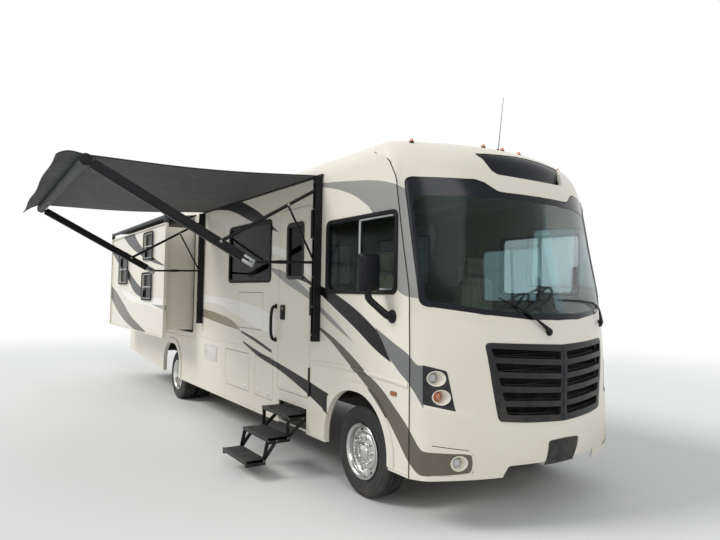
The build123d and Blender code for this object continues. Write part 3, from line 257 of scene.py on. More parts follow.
def makeWeaveGroup():
    # crossed threads, as a height and a thread shade
    tree, inputs, outputs = newGroup("weave", [("Threads", "Float", 400.0)],
                                     [("Height", "Float"), ("Thread", "Float")])
    axes = placeAxes(tree)
    across = calculate(tree, "ADD", axes["Y"], axes["Z"])
    waves = []
    for axis in (axes["X"], across):
        turned = calculate(tree, "MULTIPLY", axis, inputs["Threads"])
        waves.append(calculate(tree, "SINE", turned))
    product = calculate(tree, "MULTIPLY", waves[0], waves[1])
    height = calculate(tree, "MULTIPLY_ADD", product, 0.5, 0.5)
    noise = noiseAt(tree, objectPlace(tree), 25.0, 8.0)
    tree.links.new(height, outputs["Height"])
    tree.links.new(calculate(tree, "MULTIPLY_ADD", height, 0.35, noise), outputs["Thread"])
    return tree


def makeBandGroup():
    # a painted stripe between two edges, soft by about a millimetre
    tree, inputs, outputs = newGroup(
        "stripe", [("Height", "Float", 0), ("Top", "Float", 1.0), ("Bottom", "Float", 0), ("Along", "Float", 0),
                   ("Start", "Float", 0), ("End", "Float", 1.0), ("Softness", "Float", 0.002)], [("Mask", "Float")])
    gaps = []
    for high, low in ((inputs["Top"], inputs["Height"]), (inputs["Height"], inputs["Bottom"]),
                      (inputs["Along"], inputs["Start"]), (inputs["End"], inputs["Along"])):
        gaps.append(calculate(tree, "DIVIDE", calculate(tree, "SUBTRACT", high, low), inputs["Softness"], clamp=True))
    mask = calculate(tree, "MULTIPLY", calculate(tree, "MULTIPLY", gaps[0], gaps[1]),
                     calculate(tree, "MULTIPLY", gaps[2], gaps[3]))
    tree.links.new(mask, outputs["Mask"])
    return tree


grainGroup = makeGrainGroup()
dustGroup = makeDustGroup()
wearGroup = makeWearGroup()
weaveGroup = makeWeaveGroup()
bandGroup = makeBandGroup()


def scaled(color, share):
    return (*[value * share for value in color[:3]], 1)


def newMaterial(name, **settings):
    # a material with its Principled shader; settings are constants on the shader's own sockets
    material = bpy.data.materials.new(name)
    material.use_nodes = True
    tree = material.node_tree
    shader = tree.nodes["Principled BSDF"]
    for key, value in settings.items():
        shader.inputs[key.replace("_", " ")].default_value = value
    return material, tree, shader


def shade(tree, shader, color, roughness, height=None, bumpDepth=0.001):
    tree.links.new(color, shader.inputs["Base Color"])
    tree.links.new(roughness, shader.inputs["Roughness"])
    if height:
        bump = makeNode(tree, "ShaderNodeBump", Height=height, Strength=0.6, Distance=bumpDepth)
        tree.links.new(bump.outputs[0], shader.inputs["Normal"])


def paint(red, green, blue):
    # a colour as it shows on a screen, turned to the linear value that a shader takes
    def linear(value):
        value = value / 255
        return value / 12.92 if value <= 0.04045 else ((value + 0.055) / 1.055) ** 2.4
    return (linear(red), linear(green), linear(blue), 1)


# painted bands of the side walls and the front: colour, then the upper and lower edge as (along, height)
# along runs forward on the wall, and round the corner onto the front
bodyColor = paint(226, 220, 206)
bandColors = {
    "black": paint(13, 13, 15),
    "silver": paint(116, 117, 116),
    "olive": paint(100, 95, 84),
    "tan": paint(150, 140, 120),
    "white": paint(240, 237, 230),
    "grey": paint(150, 149, 146),
    "dark": paint(37, 38, 41),
}
coachBands = [
    ("tan", [(-4.34, 1.624), (-3.535, 1.56), (-2.983, 1.471), (-2.761, 1.374)],
     [(-4.34, 1.498), (-3.443, 1.419), (-2.761, 1.374)]),
    ("white", [(-4.357, 1.83), (-3.553, 1.809), (-3.004, 1.775), (-2.064, 1.667), (-1.658, 1.561)],
     [(-4.357, 1.719), (-3.544, 1.692), (-2.991, 1.581), (-2.051, 1.418), (-1.658, 1.375)]),
    ("dark", [(-3.907, 3.12), (-3.248, 3.147), (-2.387, 2.95), (-1.655, 2.59)],
     [(-3.907, 3.104), (-3.239, 3.016), (-2.376, 2.765), (-1.655, 2.59)]),
    ("white", [(-1.872, 2.459), (-1.432, 2.362), (-0.894, 2.16), (-0.72, 2.07)],
     [(-1.872, 2.36), (-1.428, 2.269), (-0.89, 2.063), (-0.72, 1.99)]),
    ("grey", [(-1.858, 2.188), (-1.526, 2.131), (-0.907, 1.9), (-0.7, 1.775), (-0.374, 1.622), (0, 1.42)],
     [(-1.858, 2.151), (-1.52, 2.013), (-0.903, 1.813), (-0.7, 1.712), (-0.371, 1.562), (0, 1.42)]),
    ("grey", [(-0.7, 3.035), (-0.151, 2.974), (0.396, 2.89), (0.681, 2.803), (0.97, 2.69)],
     [(-0.7, 2.995), (-0.238, 2.881), (0.085, 2.744), (0.249, 2.62), (0.45, 2.3), (0.6, 1.95), (0.97, 1.84)]),
    ("silver", [(0.324, 1.592), (0.597, 1.478), (0.787, 1.402), (0.926, 1.317), (0.98, 1.317)],
     [(0.324, 1.4), (0.557, 1.319), (0.687, 1.232), (0.791, 1.17), (0.827, 1.14), (0.98, 0.97)]),
    ("black", [(-1.22, 2.052), (-1.075, 2.077), (-0.9, 2.02), (-0.7, 1.975), (-0.267, 1.849), (0.26, 1.615),
               (0.372, 1.541), (0.557, 1.31)],
     [(-1.22, 2.045), (-0.9, 1.976), (-0.7, 1.89), (-0.261, 1.686), (0.03, 1.547), (0.329, 1.394), (0.557, 1.305)]),
    ("olive", [(-0.7, 1.554), (-0.407, 1.459), (-0.031, 1.296), (0.208, 1.173), (0.43, 1.068), (0.609, 0.949),
               (0.8, 0.809), (0.974, 0.638), (1.194, 0.626), (1.54, 0.619)],
     [(-0.7, 1.523), (-0.485, 1.433), (-0.173, 1.262), (0.111, 1.106), (0.309, 0.988), (0.495, 0.843),
      (0.643, 0.702), (0.805, 0.539), (0.978, 0.44), (1.258, 0.44), (1.54, 0.461)]),
    ("black", [(-2.68, 1.247), (-2.157, 1.152), (-1.65, 1.08), (-0.91, 0.965), (-0.47, 0.889)],
     [(-2.68, 1.222), (-2.154, 1.085), (-1.62, 0.998), (-0.93, 0.83), (-0.47, 0.69)]),
    ("dark", [(-2.76, 1.38), (-2.29, 1.31), (-1.8, 1.205)], [(-2.76, 1.35), (-2.29, 1.262), (-1.8, 1.165)]),
]
slideBands = [
    ("olive", [(-8.9, 1.96), (-8.544, 1.881), (-7.713, 1.621), (-7.059, 1.404), (-6.394, 1.266), (-5.94, 1.184)],
     [(-8.9, 1.7), (-8.271, 1.46), (-7.477, 1.268), (-6.776, 1.17), (-5.94, 1.15)]),
    ("dark", [(-8.9, 2.76), (-8.352, 2.606), (-7.449, 2.305), (-6.82, 2.078), (-6.18, 1.9), (-5.6, 1.76)],
     [(-8.9, 2.67), (-8.114, 2.365), (-7.423, 2.125), (-6.873, 1.869), (-6.156, 1.746), (-5.6, 1.7)]),
    ("dark", [(-7.85, 3.2), (-7.031, 3.013), (-6.762, 2.838), (-6.194, 2.617), (-5.477, 2.432), (-4.74, 2.268)],
     [(-7.85, 2.94), (-7.337, 2.749), (-6.406, 2.517), (-5.534, 2.357), (-4.74, 2.262)]),
    ("white", [(-7.85, 1.9), (-7.565, 1.865), (-6.156, 1.746), (-5.531, 1.773), (-4.72, 1.753)],
     [(-7.85, 1.825), (-7.097, 1.674), (-6.143, 1.639), (-4.72, 1.562)]),
    # this grey band is the tan stripe running on from the wall, drawn grey as a shaded copy of the tan: painted shade
    ("grey", [(-5.583, 1.652), (-4.72, 1.656)], [(-5.583, 1.65), (-5.19, 1.612), (-4.72, 1.57)]),
]


def edgeCurve(tree, along, points):
    # the height of a band's edge, as a smooth curve through its points
    start, reach = points[0][0], points[-1][0] - points[0][0]
    share = calculate(tree, "DIVIDE", calculate(tree, "SUBTRACT", along, start), reach)
    made = makeNode(tree, "ShaderNodeFloatCurve", Value=share)
    curve = made.mapping.curves[0]
    while len(curve.points) < len(points):
        curve.points.new(0.5, 0.5)
    for spot, (place, height) in zip(curve.points, points):
        spot.location = ((place - start) / reach, height / 4)
        spot.handle_type = "AUTO_CLAMPED"
    made.mapping.update()
    return calculate(tree, "MULTIPLY", made.outputs[0], 4.0)


def makeBandsGroup(name, bands, roundCorner, leftBands=()):
    # the body colour with its bands, from the place on the coach; leftBands show on the driver's side alone
    tree, inputs, outputs = newGroup(name, [("Body", "Color", bodyColor)], [("Color", "Color")])
    axes = placeAxes(tree)
    along = calculate(tree, "SUBTRACT", axes["X"], coachOrigin.x)
    if roundCorner:
        aside = calculate(tree, "ABSOLUTE", calculate(tree, "SUBTRACT", axes["Y"], coachOrigin.y))
        inward = calculate(tree, "MAXIMUM", calculate(tree, "SUBTRACT", halfWidth, aside), 0)
        along = calculate(tree, "ADD", along, inward)
    color = inputs["Body"]
    onLeft = calculate(tree, "GREATER_THAN", axes["Y"], coachOrigin.y)
    for shadeName, upper, lower in [*bands, *leftBands]:
        top = edgeCurve(tree, along, upper)
        bottom = edgeCurve(tree, along, lower)
        mask = useGroup(tree, bandGroup, Height=axes["Z"], Top=top, Bottom=bottom, Along=along,
                        Start=max(upper[0][0], lower[0][0]), End=min(upper[-1][0], lower[-1][0]), Softness=0.003)
        amount = mask["Mask"]
        if (shadeName, upper, lower) in leftBands:
            amount = calculate(tree, "MULTIPLY", amount, onLeft)
        color = blendColors(tree, amount, color, bandColors[shadeName])
    tree.links.new(color, outputs["Color"])
    return tree


bridgeBands = [
    ("white", [(-4.74, 1.755), (-4.34, 1.83)], [(-4.74, 1.562), (-4.34, 1.719)]),
    ("tan", [(-4.74, 1.656), (-4.33, 1.624)], [(-4.74, 1.57), (-4.33, 1.498)]),
]
coachBandsGroup = makeBandsGroup("coachBands", coachBands, True, slideBands + bridgeBands)
slideBandsGroup = makeBandsGroup("slideBands", slideBands, False)
print("bands ready")


# materials

def makePaint(name, bands):
    # glossy sprayed paint over moulded fibreglass
    material, tree, shader = newMaterial(name, Coat_Weight=0.1, Coat_Roughness=0.08, IOR=1.3, Specular_IOR_Level=0.35)
    grain = useGroup(tree, grainGroup, Scale=14.0)
    darker = blendColors(tree, 0.5, (1, 1, 1, 1), (0.975, 0.972, 0.965, 1))
    tint = blendColors(tree, rampBetween(tree, grain["Blotch"], 0.3, 0.7), (1, 1, 1, 1), darker)
    base = useGroup(tree, bands)["Color"] if bands else bodyColor
    dirt = useGroup(tree, dustGroup, Top=1.1, Amount=0.16)["Mask"]
    color = blendColors(tree, dirt, blendColors(tree, 1.0, base, tint, "MULTIPLY"), paint(168, 158, 140))
    rough = calculate(tree, "MULTIPLY_ADD", dirt, 0.45, rampBetween(tree, grain["Blotch"], 0.3, 0.7, 0.28, 0.34))
    shade(tree, shader, color, rough, useGroup(tree, grainGroup, Scale=2.5)["Blotch"], 0.0015)
    return material


def makeLinedPaint():
    # painted outside, lined inside: the lining starts behind the skin
    material = makePaint("wallPaint", coachBandsGroup)
    tree = material.node_tree
    shader = tree.nodes["Principled BSDF"]
    painted = shader.inputs["Base Color"].links[0].from_socket
    axes = placeAxes(tree)
    aside = calculate(tree, "ABSOLUTE", calculate(tree, "SUBTRACT", axes["Y"], coachOrigin.y))
    inside = rampBetween(tree, aside, halfWidth - 0.046, halfWidth - 0.042, 1.0, 0)
    grain = useGroup(tree, grainGroup, Scale=30.0, Stretch=(1, 1, 0.2))["Value"]
    lining = blendColors(tree, grain, paint(196, 186, 168), paint(172, 160, 140))
    tree.links.new(blendColors(tree, inside, painted, lining), shader.inputs["Base Color"])
    return material


def makePlastic(name, color, worn, roughness, dust=0.3, bumpScale=160.0, coat=0.0, metallic=0.0, depth=0.0006,
                shine=0.5):
    # moulded or powder-coated finish with fine grain, rubbed edges and dust
    material, tree, shader = newMaterial(name, Coat_Weight=coat, Metallic=metallic, Specular_IOR_Level=shine)
    grain = useGroup(tree, grainGroup, Scale=bumpScale)
    mottled = blendColors(tree, grain["Blotch"], color, scaled(color, 0.8))
    rubbed = blendColors(tree, useGroup(tree, wearGroup, Reach=0.08, Amount=0.45)["Mask"], mottled, worn)
    dirt = useGroup(tree, dustGroup, Top=1.6, Amount=dust)["Mask"]
    dusty = blendColors(tree, dirt, rubbed, paint(150, 140, 122))
    rough = rampBetween(tree, grain["Value"], 0.25, 0.75, roughness - 0.07, roughness + 0.08)
    shade(tree, shader, dusty, calculate(tree, "MULTIPLY_ADD", dirt, 0.3, rough), grain["Value"], depth)
    return material


def makeMetal(name, color, tarnish, roughness, stretch=(1, 1, 1), scale=60.0, dust=0.15, depth=0.0003):
    material, tree, shader = newMaterial(name, Metallic=1.0)
    grain = useGroup(tree, grainGroup, Scale=scale, Stretch=stretch)
    mottled = blendColors(tree, rampBetween(tree, grain["Blotch"], 0.35, 0.7), color, tarnish)
    dirt = useGroup(tree, dustGroup, Top=1.2, Amount=dust)["Mask"]
    rough = rampBetween(tree, grain["Value"], 0.25, 0.75, max(roughness - 0.06, 0.02), roughness + 0.08)
    shade(tree, shader, blendColors(tree, dirt, mottled, paint(140, 132, 118)),
          calculate(tree, "MULTIPLY_ADD", dirt, 0.4, rough), grain["Value"], depth)
    return material


def makeGlass(name, color, alpha, index, cab=None):
    # clear or tinted pane with faint streaks; the lower its alpha, the more it lets light straight through
    material, tree, shader = newMaterial(name, Transmission_Weight=1.0, IOR=index, Alpha=alpha, Metallic=0.0)
    grain = useGroup(tree, grainGroup, Scale=5.0, Stretch=(1, 1, 0.3))
    tinted = blendColors(tree, grain["Blotch"], color, scaled(color, 0.9))
    rough = rampBetween(tree, grain["Value"], 0.35, 0.8, 0.015, 0.045)
    if not cab:
        shade(tree, shader, tinted, rough)
        return material
    # the cab's windows are clearer than those behind it
    ahead = placeAxes(tree)["X"]
    edge = coachOrigin.x - 0.72
    clearer = blendColors(tree, rampBetween(tree, ahead, edge, edge + 0.05), tinted, cab[0])
    shade(tree, shader, clearer, rough)
    tree.links.new(rampBetween(tree, ahead, edge, edge + 0.05, alpha, cab[1]), shader.inputs["Alpha"])
    return material


def makeLens(name, color):
    # ribbed lamp plastic
    material, tree, shader = newMaterial(name, Transmission_Weight=0.35, IOR=1.49, Coat_Weight=1.0,
                                         Coat_Roughness=0.03)
    axes = placeAxes(tree)
    ribs = calculate(tree, "SINE", calculate(tree, "MULTIPLY", axes["Z"], 700.0))
    cross = calculate(tree, "SINE", calculate(tree, "MULTIPLY", calculate(tree, "ADD", axes["Y"], axes["X"]), 700.0))
    pattern = calculate(tree, "MULTIPLY_ADD", ribs, 0.25, calculate(tree, "MULTIPLY_ADD", cross, 0.25, 0.5))
    tinted = blendColors(tree, pattern, color, scaled(color, 0.6))
    shade(tree, shader, tinted, rampBetween(tree, pattern, 0, 1.0, 0.08, 0.2), pattern, 0.002)
    return material


def makeCloth(name, color, thread, threads, roughness, sheen=0.2):
    # woven cloth with threads that vary in shade
    material, tree, shader = newMaterial(name, Sheen_Weight=sheen, Sheen_Roughness=0.5)
    weave = useGroup(tree, weaveGroup, Threads=threads)
    grain = useGroup(tree, grainGroup, Scale=12.0)
    woven = blendColors(tree, rampBetween(tree, weave["Thread"], 0.3, 1.0), color, thread)
    paler = (*[min(value * 1.5 + 0.02, 1) for value in color[:3]], 1)
    faded = blendColors(tree, rampBetween(tree, grain["Blotch"], 0.4, 0.8, 0, 0.25), woven, paler)
    rough = rampBetween(tree, grain["Value"], 0.2, 0.8, roughness - 0.08, roughness + 0.08)
    shade(tree, shader, faded, rough, weave["Height"], 0.0006)
    return material


def makeTyreRubber():
    material, tree, shader = newMaterial("tyreRubber")
    grain = useGroup(tree, grainGroup, Scale=70.0)
    dirt = useGroup(tree, dustGroup, Top=0.9, Amount=0.2)["Mask"]
    black = blendColors(tree, grain["Blotch"], paint(36, 36, 38), paint(26, 26, 27))
    shade(tree, shader, blendColors(tree, dirt, black, paint(128, 119, 104)),
          rampBetween(tree, grain["Value"], 0.2, 0.8, 0.62, 0.82), grain["Value"], 0.0012)
    return material


def makeWood(name, color, vein):
    material, tree, shader = newMaterial(name, Coat_Weight=0.2)
    grain = useGroup(tree, grainGroup, Scale=16.0, Stretch=(0.15, 1, 1))
    streaks = rampBetween(tree, grain["Value"], 0.38, 0.62)
    shade(tree, shader, blendColors(tree, streaks, color, vein), rampBetween(tree, grain["Value"], 0.2, 0.8, 0.4,
            0.6), grain["Value"], 0.0006)
    return material


finish = {
    "wallPaint": makeLinedPaint(),
    "capPaint": makePaint("capPaint", coachBandsGroup),
    "plainPaint": makePaint("plainPaint", None),
    "slidePaint": makePaint("slidePaint", slideBandsGroup),
    "charcoal": makePlastic("charcoalPlastic", paint(34, 36, 40), paint(60, 62, 65), 0.42, shine=0.2),
    "black": makePlastic("blackCoat", paint(11, 13, 17), paint(40, 40, 42), 0.42, dust=0.1, bumpScale=240.0,
                         shine=0.22),
    # dark undercoat: the chassis's own finish; on the wheel covers' openings and in the wheel houses it also paints
    # shade
    "undercoatAndShade": makePlastic("undercoatAndShade", paint(30, 29, 28), paint(58, 54, 48), 0.75, dust=0.4, bumpScale=90.0,
                             depth=0.002),
    "stepGrip": makePlastic("stepGrip", paint(34, 35, 38), paint(74, 76, 80), 0.7, dust=0.16, bumpScale=420.0,
                            depth=0.0015),
    "rubber": makePlastic("sealRubber", paint(13, 13, 14), paint(34, 34, 35), 0.62, dust=0.12, bumpScale=120.0,
                          shine=0.2),
    "white": makePlastic("whitePlastic", paint(232, 230, 222), paint(205, 200, 188), 0.42, bumpScale=110.0),
    "silverFrame": makePlastic("silverFrame", paint(176, 178, 178), paint(205, 206, 206), 0.34, metallic=0.6),
    "dash": makePlastic("dashPlastic", paint(176, 166, 146), paint(150, 140, 122), 0.6, dust=0.0, bumpScale=300.0,
                        depth=0.0012),
    "darkDash": makePlastic("darkDashPlastic", paint(74, 68, 60), paint(96, 90, 80), 0.55, dust=0.0),
    # near-black navy: the glass border's own colour; on the brow scoop it is also painted shade in the recess
    "fritAndScoopShade": makePlastic("glassBorderAndScoopShade", paint(8, 13, 24), paint(8, 13, 24), 0.16, dust=0.0, depth=0.0001,
                        shine=0.22),
    "tankPlastic": makePlastic("tankPlastic", paint(58, 56, 54), paint(80, 78, 74), 0.6, dust=0.6),
    "alloy": makeMetal("brushedAlloy", paint(190, 192, 194), paint(165, 166, 168), 0.3, (0.1, 1, 1), 120.0),
    "steel": makeMetal("galvanisedSteel", paint(160, 162, 163), paint(128, 129, 130), 0.42, dust=0.4),
    "cast": makeMetal("castIron", paint(74, 70, 66), paint(98, 72, 50), 0.6, scale=40.0, dust=0.6),
    "chrome": makeMetal("chrome", paint(222, 222, 221), paint(198, 198, 197), 0.2, scale=8.0, dust=0.12,
                        depth=0.00002),
    "paneGlass": makeGlass("tintedPane", (0.018, 0.022, 0.021, 1), 0.94, 1.12, ((0.26, 0.38, 0.38, 1), 0.55)),
    # the windshield's strong teal is partly the glass's own tint and partly painted reflection of sky and trees
    "shieldGlass": makeGlass("windshieldGlass", (0.22, 0.5, 0.6, 1), 0.48, 1.2),
    "lens": makeLens("clearLens", paint(225, 230, 232)),
    "amber": makeLens("amberLens", paint(236, 120, 24)),
    "red": makeLens("redLens", paint(176, 22, 20)),
    "awning": makeCloth("awningCloth", paint(50, 52, 55), paint(30, 32, 35), 900.0, 0.72, sheen=0.08),
    "seat": makeCloth("seatVinyl", paint(176, 158, 132), paint(150, 132, 108), 700.0, 0.6),
    "seatPiping": makeCloth("seatPiping", paint(120, 104, 84), paint(98, 84, 66), 900.0, 0.55),
    "vent": makePlastic("ventLid", paint(92, 94, 96), paint(120, 122, 124), 0.3, dust=0.0, coat=0.2),
    "tyre": makeTyreRubber(),
    "deck": makeWood("floorPly", paint(150, 128, 98), paint(112, 92, 66)),
}
nodeFinish = {
    "wallPaint": ["left_wall", "right_wall", "entry_door", "slide_room"],
    "capPaint": ["front_cap"],
    "plainPaint": ["roof", "rear_wall"],
    "slidePaint": ["slide_fascia"],
    "charcoal": ["grille", "cap_inserts"],
    "black": ["awning_channels", "awning_arms", "entry_steps", "mirrors", "wipers", "grab_handle", "window_frames"],
    "undercoatAndShade": ["chassis_rails", "outriggers", "hitch", "lockers", "stairwell"],
    "deck": ["floor"],
    "white": ["service_panel", "roof_units"],
    "dash": ["dash"],
    "darkDash": ["steering_wheel", "seat_bases"],
    "tankPlastic": ["tanks"],
    "alloy": ["ladder"],
    "cast": ["engine", "front_axle", "rear_axle", "leaf_springs", "drive_line", "knuckle_left", "knuckle_right"],
    "chrome": ["front_rim_left", "front_rim_right", "rear_rims_left", "rear_rims_right"],
    "paneGlass": ["window_panes", "slide_panes", "entry_door_pane"],
    "shieldGlass": ["windshield"],
    "lens": ["front_lamps"],
    "amber": ["marker_lamps"],
    "awning": ["awning_cloth", "topper_cloth", "awning_roller", "topper_roller"],
    "seat": ["seat_cushions"],
    "tyre": ["front_tyre_left", "front_tyre_right", "rear_tyres_left", "rear_tyres_right"],
}
for doorName in nodes:
    if "locker_door" in doorName or "tv_hatch" in doorName:
        nodeFinish["wallPaint"].append(doorName)
for finishName, nodeNames in nodeFinish.items():
    for nodeName in nodeNames:
        kept = nodes[nodeName]
        if not kept.material_slots:
            kept.data.materials.append(None)
        for place in kept.material_slots:
            place.material = finish[finishName]
print("materials ready")


# mesh helpers, all in coach metres

def join(bm, part, skin=0):
    # adds a finished part to a piece
    bmesh.ops.recalc_face_normals(part, faces=part.faces)
    for face in part.faces:
        face.material_index = skin
    store = bpy.data.meshes.new("store")
    part.to_mesh(store)
    part.free()
    bm.from_mesh(store)
    bpy.data.meshes.remove(store)


def addBox(bm, low, high, bevel, skin=0):
    part = bmesh.new()
    low, high = Vector(low), Vector(high)
    corners = bmesh.ops.create_cube(part, size=1)["verts"]
    for corner in corners:
        corner.co = Vector([mid + side * size for mid, side, size in zip((low + high) / 2, corner.co, high - low)])
    if bevel:
        bmesh.ops.bevel(part, geom=part.edges[:], offset=bevel, segments=2, affect="EDGES", profile=0.6)
    join(bm, part, skin)


def addLoops(bm, loops, skin=0, capped=True, wrap=False):
    # loops of points joined one to the next; wrap joins the last to the first
    part = bmesh.new()
    rows = [[part.verts.new(point) for point in loop] for loop in loops]
    count = len(rows[0])
    pairs = list(zip(rows, rows[1:])) + ([(rows[-1], rows[0])] if wrap else [])
    for first, second in pairs:
        for i in range(count):
            j = (i + 1) % count
            part.faces.new([first[i], first[j], second[j], second[i]])
    if capped and not wrap:
        part.faces.new(rows[0])
        part.faces.new(rows[-1])
    join(bm, part, skin)


def ringAround(middle, along, radius, sides):
    # a circle of points across a direction
    along = Vector(along).normalized()
    side = along.orthogonal().normalized()
    other = along.cross(side)
    turns = [2 * pi * i / sides for i in range(sides)]
    return [Vector(middle) + (side * cos(turn) + other * sin(turn)) * radius for turn in turns]


def addTube(bm, points, radius, sides, skin=0, closed=False):
    # a round bar along points, with one radius or one for each point
    points = [Vector(point) for point in points]
    count = len(points)
    radii = radius if isinstance(radius, (list, tuple)) else [radius] * count
    tangents = []
    for i in range(count):
        before = points[i - 1] if i or closed else points[i]
        after = points[(i + 1) % count] if i < count - 1 or closed else points[i]
        tangents.append((after - before).normalized())
    side = tangents[0].orthogonal().normalized()
    loops = []
    for point, tangent, size in zip(points, tangents, radii):
        side = (side - tangent * side.dot(tangent)).normalized()
        other = tangent.cross(side)
        turns = [2 * pi * i / sides for i in range(sides)]
        loops.append([point + (side * cos(turn) + other * sin(turn)) * size for turn in turns])
    addLoops(bm, loops, skin, wrap=closed)


def smoothPath(points, steps, closed=False):
    # a curve through the points
    points = [Vector(point) for point in points]
    count = len(points)
    path = []
    for i in range(count if closed else count - 1):
        p0 = points[(i - 1) % count] if closed or i else points[0]
        p1, p2 = points[i], points[(i + 1) % count]
        p3 = points[(i + 2) % count] if closed or i < count - 2 else points[-1]
        for k in range(steps):
            t = k / steps
            path.append(0.5 * (2 * p1 + (p2 - p0) * t + (2 * p0 - 5 * p1 + 4 * p2 - p3) * t * t
                               + (3 * p1 - 3 * p2 + p3 - p0) * t ** 3))
    return path if closed else path + [points[-1]]


def addLathe(bm, profile, origin, axis, sides, skin=0):
    # profile of (radius, distance along the axis)
    origin, axis = Vector(origin), Vector(axis).normalized()
    part = bmesh.new()
    rows = []
    for radius, along in profile:
        if radius < 1e-6:
            rows.append([part.verts.new(origin + axis * along)])
        else:
            rows.append([part.verts.new(point) for point in ringAround(origin + axis * along, axis, radius, sides)])
    for first, second in zip(rows, rows[1:]):
        for i in range(sides):
            j = (i + 1) % sides
            corners = [first[i % len(first)], first[j % len(first)], second[j % len(second)], second[i % len(second)]]
            part.faces.new(list(dict.fromkeys(corners)))
    join(bm, part, skin)


def roundOutline(corners, radius, steps=5):
    # corners of a flat outline, rounded by a radius or by one for each
    count = len(corners)
    radii = radius if isinstance(radius, (list, tuple)) else [radius] * count
    outline = []
    for i in range(count):
        here = Vector(corners[i])
        before = (Vector(corners[i - 1]) - here)
        after = (Vector(corners[(i + 1) % count]) - here)
        if not radii[i]:
            outline.append(here)
            continue
        turn = before.angle(after)
        reach = min(radii[i] / max(tan(turn / 2), 1e-3), before.length * 0.48, after.length * 0.48)
        start, end = here + before.normalized() * reach, here + after.normalized() * reach
        for k in range(steps + 1):
            t = k / steps
            outline.append(start * (1 - t) ** 2 + here * 2 * t * (1 - t) + end * t * t)
    return [point for i, point in enumerate(outline) if (point - outline[i - 1]).length > 0.0003]


def insetOutline(outline, amount):
    # an outline moved inward, for one that runs counterclockwise
    count = len(outline)
    area = sum(outline[i - 1].x * outline[i].y - outline[i].x * outline[i - 1].y for i in range(count))
    sign = 1 if area > 0 else -1
    moved = []
    for i in range(count):
        along = (outline[(i + 1) % count] - outline[i - 1]).normalized()
        moved.append(outline[i] + Vector((-along.y, along.x)) * amount * sign)
    return moved


def roundBox(low, high, radius, steps=5):
    return roundOutline([(low[0], low[1]), (high[0], low[1]), (high[0], high[1]), (low[0], high[1])], radius, steps)


# where a flat outline's points go, with out as the distance they stand proud

def onSide(y, side=-1):
    # (x, z) on a face toward the door side, or toward the driver's where side is 1
    return lambda point, out=0.0: Vector((point[0], y + side * out, point[1]))


def onWall(side):
    return onSide(side * halfWidth, side)


def onBack(x, side=1):
    # (y, z) on a face toward the rear
    return lambda point, out=0.0: Vector((x - out, side * point[0], point[1]))


def addMoulding(bm, place, outline, profile, skin=0, wrap=False):
    # an outline built up by a profile of (inset, proud)
    addLoops(bm, [[place(point, out) for point in insetOutline(outline, inset)] for inset, out in profile], skin,
             wrap=wrap)


def makePiece(name, bm, finishes, body=root, angle=38):
    # turns a built mesh into a piece that rides on a body
    bm.transform(Matrix.Translation(coachOrigin))
    bm.normal_update()
    mesh = bpy.data.meshes.new(name)
    bm.to_mesh(mesh)
    bm.free()
    for finishName in finishes:
        mesh.materials.append(finish[finishName])
    mesh.polygons.foreach_set("use_smooth", [True] * len(mesh.polygons))
    mesh.set_sharp_from_angle(angle=radians(angle))
    made = bpy.data.objects.new(name, mesh)
    bpy.context.scene.collection.objects.link(made)
    if body:
        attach(made, body)
    return made


def carve(bm, cutters, operation="DIFFERENCE"):
    # cuts one mesh with others and gives back the result
    def hold(source):
        mesh = bpy.data.meshes.new("block")
        source.to_mesh(mesh)
        source.free()
        block = bpy.data.objects.new("block", mesh)
        bpy.context.scene.collection.objects.link(block)
        return block
    kept = hold(bm)
    blocks = [hold(cutter) for cutter in cutters]
    for block in blocks:
        modifier = kept.modifiers.new("cut", "BOOLEAN")
        modifier.operation = operation
        modifier.solver = "EXACT"
        modifier.object = block
    cut = bpy.data.meshes.new_from_object(kept.evaluated_get(bpy.context.evaluated_depsgraph_get()))
    result = bmesh.new()
    result.from_mesh(cut)
    for block in [kept] + blocks:
        bpy.data.objects.remove(block)
    return result


def prism(outline, start=-0.2, end=1.6):
    # an outline of (y, z) drawn out along x
    part = bmesh.new()
    addLoops(part, [[Vector((x, point[0], point[1])) for point in outline] for x in (start, end)])
    return part


def mirrored(outline):
    return [Vector((-point[0], point[1])) for point in reversed(outline)]


# the moulded front: its sections by height, the crown of the roof and the seam with the side walls

frontCap = {
    "sections": [(0.37, 1.235, 0.93, 0.82), (0.62, 1.322, 0.918, 0.818), (1.0, 1.333, 0.905, 0.815),
                 (1.4, 1.333, 0.895, 0.812), (1.7, 1.28, 0.87, 0.802), (1.91, 1.24, 0.838, 0.795),
                 (2.35, 1.156, 0.74, 0.7), (2.82, 1.064, 0.64, 0.608), (3.1, 0.965, 0.592, 0.545)],
    "creaseAt": 1.2,
    "seamOverRoof": [(2.82, 0.608), (2.914, 0.585), (3.05, 0.5), (3.13, 0.4), (3.17, 0.244), (3.5, 0.2)],
    "seamEdge": [(0.608, 2.85), (0.585, 2.914), (0.5, 3.05), (0.4625, 3.08)],
    "bottom": 0.402,
    "thickness": 0.012,
    "notchHalf": 0.56,
    "notchTop": 0.5,
    "hoodCrease": [(0, 1.505), (0.145, 1.512), (0.585, 1.545), (0.8, 1.62), (1.042, 1.727), (1.3, 1.9)],
    "hoodSink": 0.012,
    "bumperLedge": [(0, 0.8), (0.5, 0.815), (0.734, 0.865), (0.966, 0.952), (1.206, 0.995), (1.3, 1.01)],
    "bumperSwell": 0.016,
    "lampSunk": 0.006,
}


